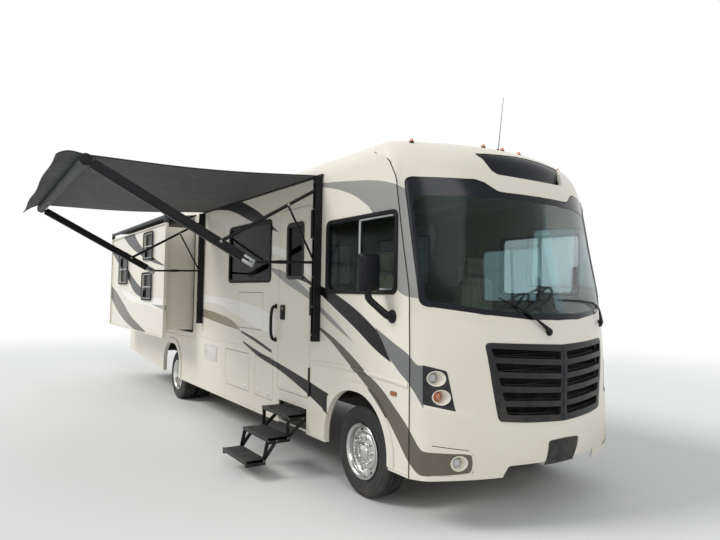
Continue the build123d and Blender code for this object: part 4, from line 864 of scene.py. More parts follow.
def along(table, value, column=1):
    # a smooth curve through a table's values
    spots = [row[0] for row in table]
    values = [row[column] for row in table]
    if value <= spots[0]:
        return values[0] + (values[1] - values[0]) / (spots[1] - spots[0]) * (value - spots[0])
    if value >= spots[-1]:
        return values[-1] + (values[-1] - values[-2]) / (spots[-1] - spots[-2]) * (value - spots[-1])
    i = max(k for k in range(len(spots) - 1) if spots[k] <= value)
    width = spots[i + 1] - spots[i]
    slopes = []
    for k in (i, i + 1):
        k0, k1 = max(k - 1, 0), min(k + 1, len(spots) - 1)
        slopes.append((values[k1] - values[k0]) / (spots[k1] - spots[k0]))
    t = (value - spots[i]) / width
    return ((2 * t ** 3 - 3 * t * t + 1) * values[i] + (t ** 3 - 2 * t * t + t) * width * slopes[0]
            + (3 * t * t - 2 * t ** 3) * values[i + 1] + (t ** 3 - t * t) * width * slopes[1])


def easeStep(value, low, high):
    t = min(max((value - low) / (high - low), 0), 1)
    return t * t * (3 - 2 * t)


def frontAt(y, z):
    # how far forward the front stands, before the corner is softened
    nose, corner, seam = (along(frontCap["sections"], z, column) for column in (1, 2, 3))
    crease = frontCap["creaseAt"]
    if y <= crease:
        rise = nose - corner
        arc = (crease ** 2 + rise ** 2) / (2 * rise)
        return nose - arc + sqrt(arc * arc - y * y)
    return corner + (seam - corner) * (y - crease) / (halfWidth - crease)


def frontX(y, z):
    y = abs(y)
    x = sum(frontAt(abs(y + k * 0.01), z) for k in (-2, -1, 0, 1, 2)) / 5 if y < halfWidth - 0.021 else frontAt(y, z)
    sides = easeStep(y, halfWidth - 0.002, halfWidth - 0.06)
    hood = easeStep(z - along(frontCap["hoodCrease"], y), -0.004, 0.022) * (1 - easeStep(z, 1.62, 1.78))
    bumper = 1 - easeStep(z - along(frontCap["bumperLedge"], y), -0.012, 0.016)
    return x - frontCap["hoodSink"] * hood * sides + frontCap["bumperSwell"] * bumper * sides


def roofZ(y):
    y = abs(y)
    if y <= 1.0895:
        return 3.345 - 0.047 * (y / 1.0895) ** 2
    return 3.08 + 0.218 * sqrt(max(0, 1 - ((y - 1.0895) / 0.187) ** 2))


def seamOver(z):
    table = frontCap["seamOverRoof"]
    if z <= table[0][0]:
        return table[0][1]
    i = max(k for k in range(len(table) - 1) if table[k][0] <= z)
    share = (z - table[i][0]) / (table[i + 1][0] - table[i][0])
    return table[i][1] + (table[i + 1][1] - table[i][1]) * min(share, 1)


def frontColumn(y, heights, overSteps=14):
    # one line of points up the front and back over the brow
    turnAt = 3.02 - 0.17 * min(abs(y) / 1.2, 1) ** 2
    low = frontCap["bottom"]
    points = []
    for height in heights:
        z = low + (turnAt - low) * height
        points.append(Vector((frontX(y, z), y, z)))
    start = points[-1]
    slope = (frontX(y, turnAt) - frontX(y, turnAt - 0.05)) / 0.05
    topZ = roofZ(y)
    end = Vector((seamOver(topZ), y, topZ))
    rise = topZ - turnAt
    first = start + Vector((slope, 0, 1)) * rise * 0.6
    second = end + Vector((1, 0, 0)) * (start.x - end.x) * 0.6
    for i in range(1, overSteps + 1):
        t = i / overSteps
        points.append(start * (1 - t) ** 3 + first * 3 * t * (1 - t) ** 2 + second * 3 * t * t * (1 - t) + end
                      * t ** 3)
    if abs(y) > halfWidth - 0.001:
        edge = frontCap["seamEdge"]
        for i in range(1, overSteps + 1):
            t = i / overSteps * 3
            k = min(int(t), 2)
            share = t - k
            x, z = (edge[k][n] + (edge[k + 1][n] - edge[k][n]) * share for n in (0, 1))
            points[len(heights) - 1 + i] = Vector((x, y, z))
    return points


def frontGrid():
    near = [0.06 * i for i in range(19)]
    corner = [1.105, 1.13, 1.15, 1.165, 1.178, 1.19, 1.2, 1.21, 1.222, 1.236, 1.255, halfWidth]
    ys = [-y for y in reversed(near[1:] + corner)] + near + corner
    zs = [0.402 + 0.04 * i for i in range(10)] + [0.785 + 0.013 * i for i in range(20)]
    zs += [1.06 + 0.04 * i for i in range(11)] + [1.49 + 0.014 * i for i in range(25)]
    zs += [1.86 + 0.045 * i for i in range(25)] + [3.0, 3.02]
    zs = sorted(set(round(z, 4) for z in zs if z <= 3.02))
    heights = [(z - 0.402) / (3.02 - 0.402) for z in zs]
    return [frontColumn(y, heights) for y in ys]


def facing(grid):
    # the outward direction at each point of a grid
    rows = []
    for i, column in enumerate(grid):
        left, right = grid[max(i - 1, 0)], grid[min(i + 1, len(grid) - 1)]
        row = []
        for j in range(len(column)):
            up = column[min(j + 1, len(column) - 1)] - column[max(j - 1, 0)]
            row.append((right[j] - left[j]).cross(up).normalized())
        rows.append(row)
    return rows


frontPoints = frontGrid()
frontNormals = facing(frontPoints)


def frontShell(out, depth):
    # the front's skin as a solid, from out proud of it to depth behind it; each may depend on the place
    part = bmesh.new()
    layers = []
    for offset in (out, depth):
        layer = []
        for column, row in zip(frontPoints, frontNormals):
            line = []
            for point, normal in zip(column, row):
                amount = offset(point) if callable(offset) else offset
                moved = point + normal * amount
                if abs(point.y) > halfWidth - 0.001:
                    moved = Vector((point.x - 0.0001, point.y - copysign(0.0 if amount >= 0 else -amount, point.y),
                                    point.z))
                line.append(part.verts.new(moved))
            layer.append(line)
        layers.append(layer)
    columns, rows = len(frontPoints), len(frontPoints[0])
    for layer in layers:
        for i in range(columns - 1):
            for j in range(rows - 1):
                part.faces.new((layer[i][j], layer[i + 1][j], layer[i + 1][j + 1], layer[i][j + 1]))
    rim = [(i, 0) for i in range(columns)] + [(columns - 1, j) for j in range(1, rows)]
    rim += [(i, rows - 1) for i in range(columns - 2, -1, -1)] + [(0, j) for j in range(rows - 2, 0, -1)]
    for (i, j), (k, m) in zip(rim, rim[1:] + rim[:1]):
        part.faces.new((layers[0][i][j], layers[0][k][m], layers[1][k][m], layers[1][i][j]))
    bmesh.ops.recalc_face_normals(part, faces=part.faces)
    return part


def frontPatch(outline, out, depth, cutters=()):
    # the part of the front inside an outline of (y, z)
    patch = carve(frontShell(out, depth), [prism(outline)], "INTERSECT")
    return carve(patch, cutters) if cutters else patch


def bothHalves(half):
    # a whole outline from its right half, given from the middle round to the middle
    flipped = [(-y, z) for y, z in reversed(half)]
    if abs(half[-1][0]) < 1e-6:
        flipped = flipped[1:]
    if abs(half[0][0]) < 1e-6:
        flipped = flipped[:-1]
    return list(half) + flipped


windshield = {
    "outline": [(0, 2.793), (-0.47, 2.798), (-0.59, 2.875), (-0.67, 2.899), (-1.212, 2.903), (-1.212, 1.8),
                (-0.75, 1.734), (-0.31, 1.692), (0, 1.687)],
    "clear": [(0, 2.735), (-0.6, 2.738), (-1.168, 2.732), (-1.168, 1.85), (-0.75, 1.775), (-0.36, 1.747),
              (0, 1.742)],
    "radii": [0, 0.14, 0.06, 0.14, 0.07, 0.07, 0.5, 0.5, 0],
    "clearRadii": [0, 0.5, 0.04, 0.04, 0.4, 0.4, 0],
    "glass": 0.006,
}
grille = {
    "outline": [(0, 1.48), (-0.775, 1.508), (-0.725, 1.18), (-0.665, 0.868), (-0.42, 0.848), (0, 0.83)],
    "radii": [0, 0.045, 0.3, 0.05, 0.3, 0],
    "slots": 5,
    "first": 0.92,
    "pitch": 0.1165,
    "height": 0.07,
    "post": 0.05,
    "reach": 0.603,
    "widen": 0.029,
    "slope": 0.055,
    "vane": [(0, 0), (0.03, 0.004), (0.03, 0.008), (0, 0.004)],
}
scoop = {
    "outline": [(0, 3.195), (-0.585, 3.165), (-0.535, 3.1), (-0.495, 2.992), (-0.44, 2.958), (0, 2.945)],
    "radii": [0, 0.02, 0.05, 0.05, 0.05, 0],
    "top": 3.19,
    "low": 2.98,
    "depth": 0.06,
}
bezel = {
    "outline": [(-1.205, 1.319), (-1.05, 1.276), (-0.992, 0.954), (-1.205, 1.003)],
    "radii": [0.006, 0.035, 0.008, 0.006],
}
headLamps = [(-1.12, 1.213, 0.062), (-1.087, 1.063, 0.062)]
fogLamp = (-0.968, 0.541, 0.062)
fogLip = [(1.19, 0.64), (0.925, 0.621), (0.875, 0.592), (0.868, 0.48), (0.93, 0.452), (1.17, 0.443)]
platePad = {
    "outline": [(0, 0.69), (-0.195, 0.682), (-0.182, 0.47), (0, 0.468)],
    "radii": [0, 0.03, 0.004, 0],
    "out": 0.006,
}


def wholeOutline(part, key="outline", radii="radii"):
    # a rounded outline from the right half that a dictionary gives
    return roundOutline(bothHalves(part[key]), part[radii] + part[radii][-2:0:-1])


windshieldOuter, grilleOuter, scoopOuter = (wholeOutline(part) for part in (windshield, grille, scoop))
windshieldClear = wholeOutline(windshield, "clear", "clearRadii")
bezelOuter = roundOutline(bezel["outline"], bezel["radii"])


def circle(y, z, radius):
    return [Vector((y + cos(2 * pi * i / 40) * radius, z + sin(2 * pi * i / 40) * radius)) for i in range(40)]


def shellX(y, z):
    # how far forward the skin stands, also over the brow
    column = frontColumn(y, [0.85, 0.9, 0.95, 1.0], 24)
    for low, high in zip(column, column[1:]):
        if low.z <= z <= high.z:
            return low.x + (high.x - low.x) * (z - low.z) / max(high.z - low.z, 1e-6)
    return frontX(y, z)


def drape(outline, out=0.0, reach=frontX):
    # an outline of (y, z) laid on the front
    return [Vector((reach(point.x, point.y) + out, point.x, point.y)) for point in outline]


def addLamp(bm, y, z, radius, lensSkin):
    # a ringed cone sunk into the front, with the lamp at its bottom
    back = min(point.x for point in drape(circle(y, z, radius))) - frontCap["lampSunk"]

    def ring(share, rise):
        return [Vector((back + rise, point.x, point.y)) for point in circle(y, z, radius * share)]
    lips = [drape(circle(y, z, radius + wider), out)
            for wider, out in ((0.001, -0.02), (0.001, 0.001), (-0.001, 0.0035), (-0.006, 0.001))]
    addLoops(bm, lips + [ring(0.6, 0), ring(0.66, -0.012)], capped=False)
    dome = ((0.6, -0.01), (0.6, 0.006), (0.56, 0.014), (0.44, 0.021), (0.28, 0.026))
    addLoops(bm, [ring(*step) for step in dome], lensSkin)
    bulb = ((0.36, 0.0225), (0.36, 0.0275), (0.31, 0.0285), (0.31, 0.024))
    addLoops(bm, [ring(*step) for step in bulb], 3)


def buildShell():
    # the moulded front with its openings cut
    wide = (windshieldOuter, grilleOuter, scoopOuter, bezelOuter, mirrored(bezelOuter))
    cutters = [prism(outline) for outline in wide]
    cutters += [prism(circle(side * fogLamp[0], *fogLamp[1:]), 0.6) for side in (1, -1)]
    half, top = frontCap["notchHalf"], frontCap["notchTop"]
    notch = [(-half - 0.09, 0.2), (half + 0.09, 0.2), (half, top), (-half, top)]
    cutters.append(prism(roundOutline(notch, [0, 0, 0.03, 0.03]), 0.4))
    for side in (1, -1):
        seam = roundBox((0.9, -0.0035), (1.16, 0.0035), 0.003)
        tilted = [Vector((side * -point.x, 0.681 - (1.16 - point.x) * 0.14 + point.y)) for point in seam]
        cutters.append(prism(tilted, 0.8))
    shell = carve(frontShell(0, -frontCap["thickness"]), cutters)
    made = makePiece("moulded_front", shell, ["capPaint"], angle=32)
    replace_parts(made, "front_cap")


def buildWindshield():
    # glass, a seal round it, and its dark border on the inside
    glass = frontPatch(insetOutline(windshieldOuter, 0.004), -0.003, -0.003 - windshield["glass"])
    made = makePiece("windshield_glass", glass, ["shieldGlass"])
    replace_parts(made, "windshield")
    edge = insetOutline(windshieldOuter, 0.003)
    seal = bmesh.new()
    addTube(seal, drape(edge, 0, shellX), 0.005, 8, closed=True)
    makePiece("windshield_seal", seal, ["rubber"])
    border = frontPatch(edge, -0.0012, -0.0028, [prism(windshieldClear)])
    makePiece("windshield_border", border, ["fritAndScoopShade"])


def buildGrille():
    # one plate with slots, a post and vanes in it, and the cooler's core behind
    rows = range(grille["slots"])
    slots = []
    near = grille["post"] / 2 + 0.012
    for side in (1, -1):
        for i in rows:
            low = grille["first"] + i * grille["pitch"] - grille["height"] / 2
            high = low + grille["height"]
            reach = grille["reach"] + i * grille["widen"]
            corners = [(near + 0.006, low), (reach - 0.012, low), (reach + 0.014, high), (near, high)]
            slots.append(prism([Vector((side * point.x, point.y + point.x * grille["slope"]))
                                for point in roundOutline(corners, [0.008, 0.018, 0.018, 0.008], 4)], 0.4, 1.7))
    plate = frontPatch(insetOutline(grilleOuter, 0.002), 0.006, -0.022, slots)
    bmesh.ops.remove_doubles(plate, verts=plate.verts, dist=0.0002)
    made = makePiece("grille_plate", plate, ["charcoal"], angle=30)
    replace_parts(made, "grille")
    vanes = bmesh.new()
    addTube(vanes, [(frontX(0, z) + 0.004, 0, z) for z in (0.835, 1.0, 1.15, 1.3, 1.472)], 0.011, 10)
    for i in rows:
        z = grille["first"] + i * grille["pitch"]
        for side in (1, -1):
            run = [(frontX(y, z) - 0.055, side * y, z + y * grille["slope"] - 0.028) for y in (0.04, 0.2, 0.4, 0.6)]
            addLoops(vanes, [[Vector((x + ahead, y, z + up)) for ahead, up in grille["vane"]] for x, y, z in run])
    makePiece("grille_vanes", vanes, ["charcoal"])
    core = bmesh.new()
    addBox(core, (1.08, -0.76, 0.76), (1.1, 0.76, 1.56), 0.004)
    for i in range(126):
        y = -0.75 + i * 0.012
        addBox(core, (1.1, y - 0.0012, 0.79), (1.114, y + 0.0012, 1.53), 0)
    for z in (0.87, 1.0, 1.13, 1.26, 1.39):
        addBox(core, (1.114, -0.755, z - 0.004), (1.122, 0.755, z + 0.004), 0.001)
    makePiece("cooler_core", core, ["undercoatAndShade"])


def buildScoop():
    # the sunken brow scoop, with a rim that closes its edge; the recess is near-black, partly a dark insert and
    # partly painted shade
    def sink(point):
        return -0.003 - scoop["depth"] * easeStep(scoop["top"] - point.z, 0, scoop["top"] - scoop["low"])
    recess = frontPatch(insetOutline(scoopOuter, -0.004), sink, lambda point: sink(point) - 0.008)
    makePiece("brow_scoop", recess, ["fritAndScoopShade"], angle=60)
    rim = bmesh.new()
    outside, inside = (drape(outline, 0, shellX) for outline in (scoopOuter, insetOutline(scoopOuter, 0.004)))
    behind = Vector((-0.045, 0, 0))
    addLoops(rim, [outside, [point + behind for point in outside], [point + behind for point in inside], inside],
             wrap=True)
    makePiece("scoop_rim", rim, ["capPaint"])


def buildFrontLamps():
    bezels, lamps = bmesh.new(), bmesh.new()
    edge = insetOutline(bezelOuter, 0.0015)
    for side, outline in ((1, edge), (-1, mirrored(edge))):
        holes = [prism(circle(side * y, z, radius + 0.001), 0.6) for y, z, radius in headLamps]
        join(bezels, frontPatch(outline, 0.002, -0.01, holes))
        for (y, z, radius), lensSkin in zip(headLamps + [fogLamp], (1, 2, 1)):
            addLamp(lamps, side * y, z, radius, lensSkin)
    made = makePiece("lamp_bezels", bezels, ["charcoal"], angle=50)
    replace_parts(made, "cap_inserts")
    made = makePiece("front_lamp_cups", lamps, ["plainPaint", "lens", "amber", "chrome"])
    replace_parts(made, "front_lamps")


def buildLowFront():
    # bare plate pad low in the middle, and the raised lip round each fog panel
    pad = frontPatch(wholeOutline(platePad), platePad["out"], -platePad["out"])
    makePiece("plate_pad", pad, ["charcoal"])
    lips = bmesh.new()
    for side in (1, -1):
        run = smoothPath([(frontX(y, z) + 0.001, side * y, z) for y, z in fogLip], 8)
        sizes = [0.0015 + 0.0055 * sin(pi * i / (len(run) - 1)) for i in range(len(run))]
        addTube(lips, run, sizes, 10)
    makePiece("fog_panel_lips", lips, ["plainPaint"])


buildShell()
buildWindshield()
buildGrille()
buildScoop()
buildFrontLamps()
buildLowFront()
print("front ready")


# wheels and tyres

wheel = {
    "radius": 0.4195,
    "width": 0.248,
    "bead": 0.2477,
    "middle": 1.066,
    "gap": 0.03,
    "wheelbase": 5.79,
    "lugs": 10,
    "windows": 8,
    "blocks": 60,
    "grooves": [-0.066, -0.022, 0.022, 0.066],
    "sidewall": [(-0.004, 0.036), (0.004, 0.02), (0.016, 0.014), (0.022, 0.016), (0.045, 0.004), (0.075, 0),
                 (0.078, 0.0025), (0.105, 0.0035), (0.109, 0.0015)],
    "shoulder": [(0.035, 0.007), (0.014, 0.014), (0.005, 0.021)],
}


def addTyre(bm, x, y):
    # sidewalls with a stepped bead and rim guard, four grooves and cut shoulders
    half = wheel["width"] / 2
    outer, bead = wheel["radius"], wheel["bead"]
    sidewall = [(bead + up, inset) for up, inset in wheel["sidewall"]]
    sidewall += [(outer - down, inset) for down, inset in wheel["shoulder"]]
    profile = [(radius, inset - half) for radius, inset in sidewall]
    tread = []
    for place in wheel["grooves"]:
        tread += [(outer - 0.001, place - 0.006), (outer - 0.012, place - 0.0035), (outer - 0.012, place + 0.0035),
                  (outer - 0.001, place + 0.006)]
    crown = [(radius - (place / half) ** 4 * 0.004, place) for radius, place in tread]
    profile = profile + crown + [(radius, -place) for radius, place in reversed(profile)]
    sides = wheel["blocks"] * 4
    origin, axis = Vector((x, y, outer)), Vector((0, 1, 0))
    loops = []
    for radius, place in profile:
        loop = ringAround(origin + axis * place, axis, radius, sides)
        if outer - 0.016 < radius < outer - 0.0045 and abs(place) > half - 0.03:
            for i in range(0, sides, 4):
                loop[i] = loop[i] + (origin + axis * place - loop[i]).normalized() * 0.006
        loops.append(loop)
    inner = [ringAround(origin + axis * place, axis, bead + 0.006, sides) for place in (half - 0.045, 0.045 - half)]
    addLoops(bm, loops + inner, wrap=True)


def addWheelCover(bm, x, y, side, deep):
    # polished cover: rolled lip, dish, lug covers and a hub; deep is for the sunken rear one
    face = y + side * (wheel["width"] / 2)
    origin, axis = Vector((x, face, wheel["radius"])), Vector((0, side, 0))
    lip = wheel["bead"]
    if deep:
        dish = [(lip - 0.016, -0.012), (lip - 0.028, -0.045), (lip - 0.034, -0.105), (lip - 0.05, -0.132),
                (0.165, -0.14), (0.15, -0.132), (0.1, -0.128)]
        hub = [(0.098, -0.126), (0.09, -0.06), (0.084, -0.04), (0.06, -0.03), (0, -0.027)]
    else:
        dish = [(lip - 0.016, -0.01), (lip - 0.024, -0.03), (lip - 0.03, -0.056), (lip - 0.046, -0.068),
                (0.176, -0.06), (0.168, -0.04), (0.16, -0.034), (0.1, -0.026)]
        hub = [(0.078, -0.024), (0.074, -0.012), (0.066, -0.002), (0.058, 0), (0.052, -0.006), (0.03, 0.002),
               (0, 0.004)]
    lips = [(lip - 0.004, -0.034), (lip + 0.007, -0.012), (lip + 0.008, -0.002), (lip + 0.002, 0.003),
            (lip - 0.006, 0.001), (lip - 0.01, -0.006)]
    addLathe(bm, lips + dish + hub, origin, axis, 96)
    level = -0.03 if not deep else -0.13
    for i in range(wheel["lugs"]):
        turn = 2 * pi * i / wheel["lugs"]
        spot = origin + Vector((cos(turn) * 0.128, 0, sin(turn) * 0.128))
        addLathe(bm, [(0.017, level - 0.004), (0.0165, level + 0.016), (0.014, level + 0.024), (0.008, level + 0.028),
                      (0, level + 0.029)], spot, axis, 16)
    # the cover's openings are flat dark undercoat discs on the dish, each in a chrome ring: painted shade of the
    # hollow behind them
    for i in range(wheel["windows"]):
        turn = 2 * pi * (i + 0.5) / wheel["windows"]
        out = Vector((cos(turn), 0, sin(turn)))
        tangent = Vector((-sin(turn), 0, cos(turn)))
        middle = origin + out * 0.203 + axis * (-0.0645 if not deep else -0.1365)
        turns = [2 * pi * k / 20 for k in range(20)]
        loop = [middle + tangent * cos(turn) * 0.027 + out * sin(turn) * 0.0135 for turn in turns]
        addLoops(bm, [loop, [point + axis * 0.004 for point in loop]], 1)
        addTube(bm, [point + axis * 0.003 for point in loop], 0.0026, 6, closed=True)


def buildWheels():
    inner = wheel["middle"] - wheel["width"] - wheel["gap"]
    axles = (("front_", "tyre_", "wheel_", 0, [wheel["middle"]]),
             ("rear_", "tyres_", "wheels_", -wheel["wheelbase"], [wheel["middle"], inner]))
    for sideName, side in (("right", -1), ("left", 1)):
        for axle, tyres, wheels, x, middles in axles:
            body = axle + wheels + sideName
            tyreNode = axle + tyres + sideName
            rubber, cover = bmesh.new(), bmesh.new()
            for middle in middles:
                addTyre(rubber, x, side * middle)
            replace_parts(makePiece(tyreNode + "_rubber", rubber, ["tyre"], body, 30), tyreNode)
            addWheelCover(cover, x, side * wheel["middle"], side, x < 0)
            makePiece(axle + "cover_" + sideName, cover, ["chrome", "undercoatAndShade"], body, 28)


buildWheels()
print("wheels ready")


# awning: cloth, valance, roller, and the hardware on its arms

awning = {
    "rail": (-1.3, 3.11),
    "roller": (-3.52, 2.96),
    "rollerRadius": 0.045,
    "front": -0.718,
    "back": -4.285,
    "sag": 0.055,
    "overhang": 0.215,
    "drop": 0.122,
    "waves": 5,
    "thickness": 0.0016,
    "crease": 0.006,
    "pull": 0.01,
    "curl": 0.018,
    "seams": (18, 36, 54),
}


def clothFrom(grid):
    # a single layer of faces over a grid of points
    cloth = bmesh.new()
    rows = [[cloth.verts.new(point) for point in column] for column in grid]
    for near, far in zip(rows, rows[1:]):
        for j in range(len(near) - 1):
            cloth.faces.new((near[j], far[j], far[j + 1], near[j + 1]))
    return cloth


def buildAwning():
    columns, rows = 72, 40
    y0, z0 = awning["rail"]
    y1, z1 = awning["roller"][0], awning["roller"][1] + awning["rollerRadius"] + 0.002
    front, back = awning["front"], awning["back"]
    grid = []
    for i in range(columns + 1):
        share = i / columns
        x = front + (back - front) * share
        column = []
        for j in range(rows + 1):
            t = j / rows
            crease = awning["crease"] * sin(share * 40 + t * 5) * t * (1 - t)
            pull = awning["pull"] * cos(2 * pi * share) * sin(pi * t)
            sag = awning["sag"] * sin(pi * t) ** 1.2 * (0.75 + 0.25 * sin(pi * share))
            edge = awning["curl"] * sin(pi * t) * (exp(-share * 12) - exp(-(1 - share) * 12))
            column.append(Vector((x - edge, y0 + (y1 - y0) * t, z0 + (z1 - z0) * t - sag + crease + pull)))
        wave = sin(share * 2 * pi * awning["waves"] / 2)
        tail = 8
        for j in range(1, tail + 1):
            t = j / tail
            out = awning["overhang"] * (t ** 0.8)
            lift = 0.03 * (1 - share) * sin(pi * t * 0.7) - 0.12 * t * share * 0.6
            fall = awning["drop"] * 0.42 * t * t
            column.append(Vector((x, y1 - out * (1 - 0.025 * wave * t), z1 - fall * (1 + 0.1 * wave) + lift)))
        grid.append(column)
    made = makePiece("awning_fabric", clothFrom(grid), ["awning"], angle=60)
    thick = made.modifiers.new("thickness", "SOLIDIFY")
    thick.thickness = awning["thickness"]
    thick.offset = 0
    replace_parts(made, "awning_cloth")
    hem = bmesh.new()
    for column in (0, columns):
        addTube(hem, [point + Vector((0, 0, 0.001)) for point in grid[column]], 0.0042, 8)
    addTube(hem, [grid[i][-1] for i in range(columns + 1)], 0.005, 8)
    addTube(hem, [grid[i][rows] + Vector((0, 0, 0.002)) for i in range(columns + 1)], 0.003, 6)
    for i in awning["seams"]:
        addTube(hem, [point + Vector((0, 0, 0.0005)) for point in grid[i]], 0.0022, 6)
    welt = makePiece("awning_hems", hem, ["awning"])
    return made, welt


awningCloth, awningHems = buildAwning()


def addBar(bm, start, end, wide, deep, skin=0, bevel=0.006, across=(1, 0, 0)):
    # a boxed extrusion between two points; wide is measured along across
    start, end = Vector(start), Vector(end)
    along, across = (end - start).normalized(), Vector(across)
    normal = along.cross(across).normalized()
    outline = roundBox((-wide / 2, -deep / 2), (wide / 2, deep / 2), bevel, 3)
    addLoops(bm, [[point + across * spot.x + normal * spot.y for spot in outline] for point in (start, end)], skin)


awningArms = {
    "planes": (-0.683, -4.32),
    "elbow": (-2.05, 2.178),
    "tip": (-3.47, 2.934),
    "wide": 0.046,
    "deep": 0.088,
    "bolt": 0.016,
    "bolts": [(-2.35, 2.355), (-2.05, 2.178), (-1.317, 2.204), (-1.317, 2.968), (-1.345, 2.204), (-1.66, 2.765)],
    "screws": (1.46, 1.75, 2.05, 2.45, 2.75, 3.03),
}


def buildAwningArms():
    bars = bmesh.new()
    (y0, z0), (y1, z1) = awningArms["elbow"], awningArms["tip"]
    reach = Vector((0, y1 - y0, z1 - z0)).normalized()
    deep = awningArms["deep"]
    for x in awningArms["planes"]:
        low, high = Vector((x, y0, z0)) - reach * 0.03, Vector((x, y1, z1))
        addBar(bars, low + reach * 0.12, high, awningArms["wide"], deep)
        addBar(bars, low, low + reach * 0.13, awningArms["wide"] - 0.012, deep - 0.016, 1)
        addBar(bars, low - reach * 0.008, low + reach * 0.004, awningArms["wide"] - 0.004, deep - 0.006, 2)
        normal = reach.cross(Vector((1, 0, 0)))
        for side in (-1, 1):
            for edge in (-0.026, 0.026):
                groove = [low + reach * share + normal * edge + Vector((side * awningArms["wide"] / 2, 0, 0))
                          for share in (0.14, 1.2)]
                addBar(bars, groove[0], groove[1], 0.005, 0.008, 0, 0.001)
        for y, z in awningArms["bolts"]:
            for side in (-1, 1):
                addLathe(bars, [(awningArms["bolt"], 0.016), (awningArms["bolt"], 0.024), (0.009, 0.027), (0, 0.028)],
                         (x, y, z), (side, 0, 0), 16, 2)
        addTube(bars, [(x, -1.8, 2.187), (x, -1.72, 2.191), (x, -1.64, 2.193)], [0.016, 0.02, 0.016], 14)
        addBox(bars, (x - 0.022, -1.35, 2.175), (x + 0.022, -1.3, 2.235), 0.006)
        addBox(bars, (x - 0.022, -1.35, 2.94), (x + 0.022, -1.3, 2.996), 0.006)
        addLathe(bars, [(0, 0.018), (0.03, 0.018), (0.052, 0.014), (0.054, -0.006), (0.05, -0.02)],
                 (x, -3.52, 2.96), (1 if x > -2 else -1, 0, 0), 28)
        for z in awningArms["screws"]:
            addLathe(bars, [(0.007, 0), (0.007, 0.004), (0.004, 0.006), (0, 0.0062)], (x, -1.3605, z), (0, -1, 0), 12,
                     2)
        addBox(bars, (x - 0.03, -1.362, 1.392), (x + 0.03, -1.279, 1.402), 0.003)
    makePiece("awning_arm_covers", bars, ["black", "alloy", "steel"])


buildAwningArms()


# cloth that covers the slide-out's roof

topper = {"rail": (-1.29, 3.124), "roller": (-1.746, 3.062), "radius": 0.03, "x": (-8.83, -4.82), "sag": 0.02}


def buildTopper():
    y0, z0 = topper["rail"]
    y1, z1 = topper["roller"][0], topper["roller"][1] + topper["radius"] + 0.001
    low, high = topper["x"]
    columns, rows = 48, 12
    grid = []
    for i in range(columns + 1):
        share = i / columns
        column = []
        for j in range(rows + 1):
            t = j / rows
            sag = topper["sag"] * sin(pi * t) * (0.8 + 0.2 * sin(share * 17))
            column.append(Vector((low + (high - low) * share, y0 + (y1 - y0) * t, z0 + (z1 - z0) * t - sag)))
        grid.append(column)
    piece = makePiece("topper_fabric", clothFrom(grid), ["awning"], None, 60)
    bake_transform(piece)
    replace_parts(piece, "topper_cloth")
    return piece


topperCloth = buildTopper()


# steps, mirrors and wipers

entrySteps = {
    "x": (-1.56, -0.94),
    "treads": [(0.61, -1.25, -1.49), (0.4, -1.45, -1.71), (0.2, -1.72, -1.94)],
    "thick": 0.03,
    "legs": [[(-1.255, 0.66), (-1.262, 0.56), (-1.3, 0.56)], [(-1.47, 0.575), (-1.474, 0.372)],
             [(-1.262, 0.56), (-1.47, 0.38)], [(-1.696, 0.37), (-1.738, 0.175)],
             [(-1.6, 0.365), (-1.738, 0.18)]],
}


def buildSteps():
    mats = bmesh.new()
    x0, x1 = entrySteps["x"]
    for z, near, far in entrySteps["treads"]:
        addBox(mats, (x0 + 0.012, far + 0.006, z), (x1 - 0.012, near - 0.01, z + 0.003), 0.001)
        addBox(mats, (x0 - 0.003, far - 0.004, z - 0.036), (x1 + 0.003, far + 0.014, z + 0.005), 0.005)
        rows = int((near - far - 0.04) / 0.022)
        for row in range(rows):
            y = far + 0.028 + row * 0.022
            for k in range(26):
                x = x0 + 0.03 + (k + 0.5 * (row % 2)) * (x1 - x0 - 0.06) / 26
                lean = 0.006 if (k + row) % 2 else -0.006
                addBar(mats, (x - lean, y - 0.006, z + 0.0035), (x + lean, y + 0.006, z + 0.0035), 0.003, 0.003, 0,
                       0.001)
    makePiece("step_treads", mats, ["stepGrip"])
    rods = bmesh.new()
    for z, near, far in entrySteps["treads"]:
        addBox(rods, (x0, far, z - entrySteps["thick"]), (x1, near, z), 0.004)
        for x in (x0, x1 - 0.008):
            addBox(rods, (x, far, z - 0.062), (x + 0.008, near, z - 0.004), 0.002)
    for x in (x0 + 0.014, x1 - 0.014):
        for course in entrySteps["legs"]:
            for (topY, topZ), (footY, footZ) in zip(course, course[1:]):
                addBar(rods, (x, topY, topZ), (x, footY, footZ), 0.01, 0.04, 0, 0.003)
            for y, z in course:
                addLathe(rods, [(0.014, 0), (0.014, 0.011), (0.008, 0.014), (0, 0.0145)], (x, y, z),
                         (1 if x > -1.2 else -1, 0, 0), 12, 1)
    made = makePiece("step_struts", rods, ["black", "steel"])
    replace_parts(made, "entry_steps")


buildSteps()

mirror = {
    "head": ((0.417, 1.346, 1.906), (0.503, 1.549, 2.238)),
    "foot": (0.57, 1.2765, 1.7),
    "bend": (0.47, 1.4565, 1.855),
    "corner": 0.04,
}


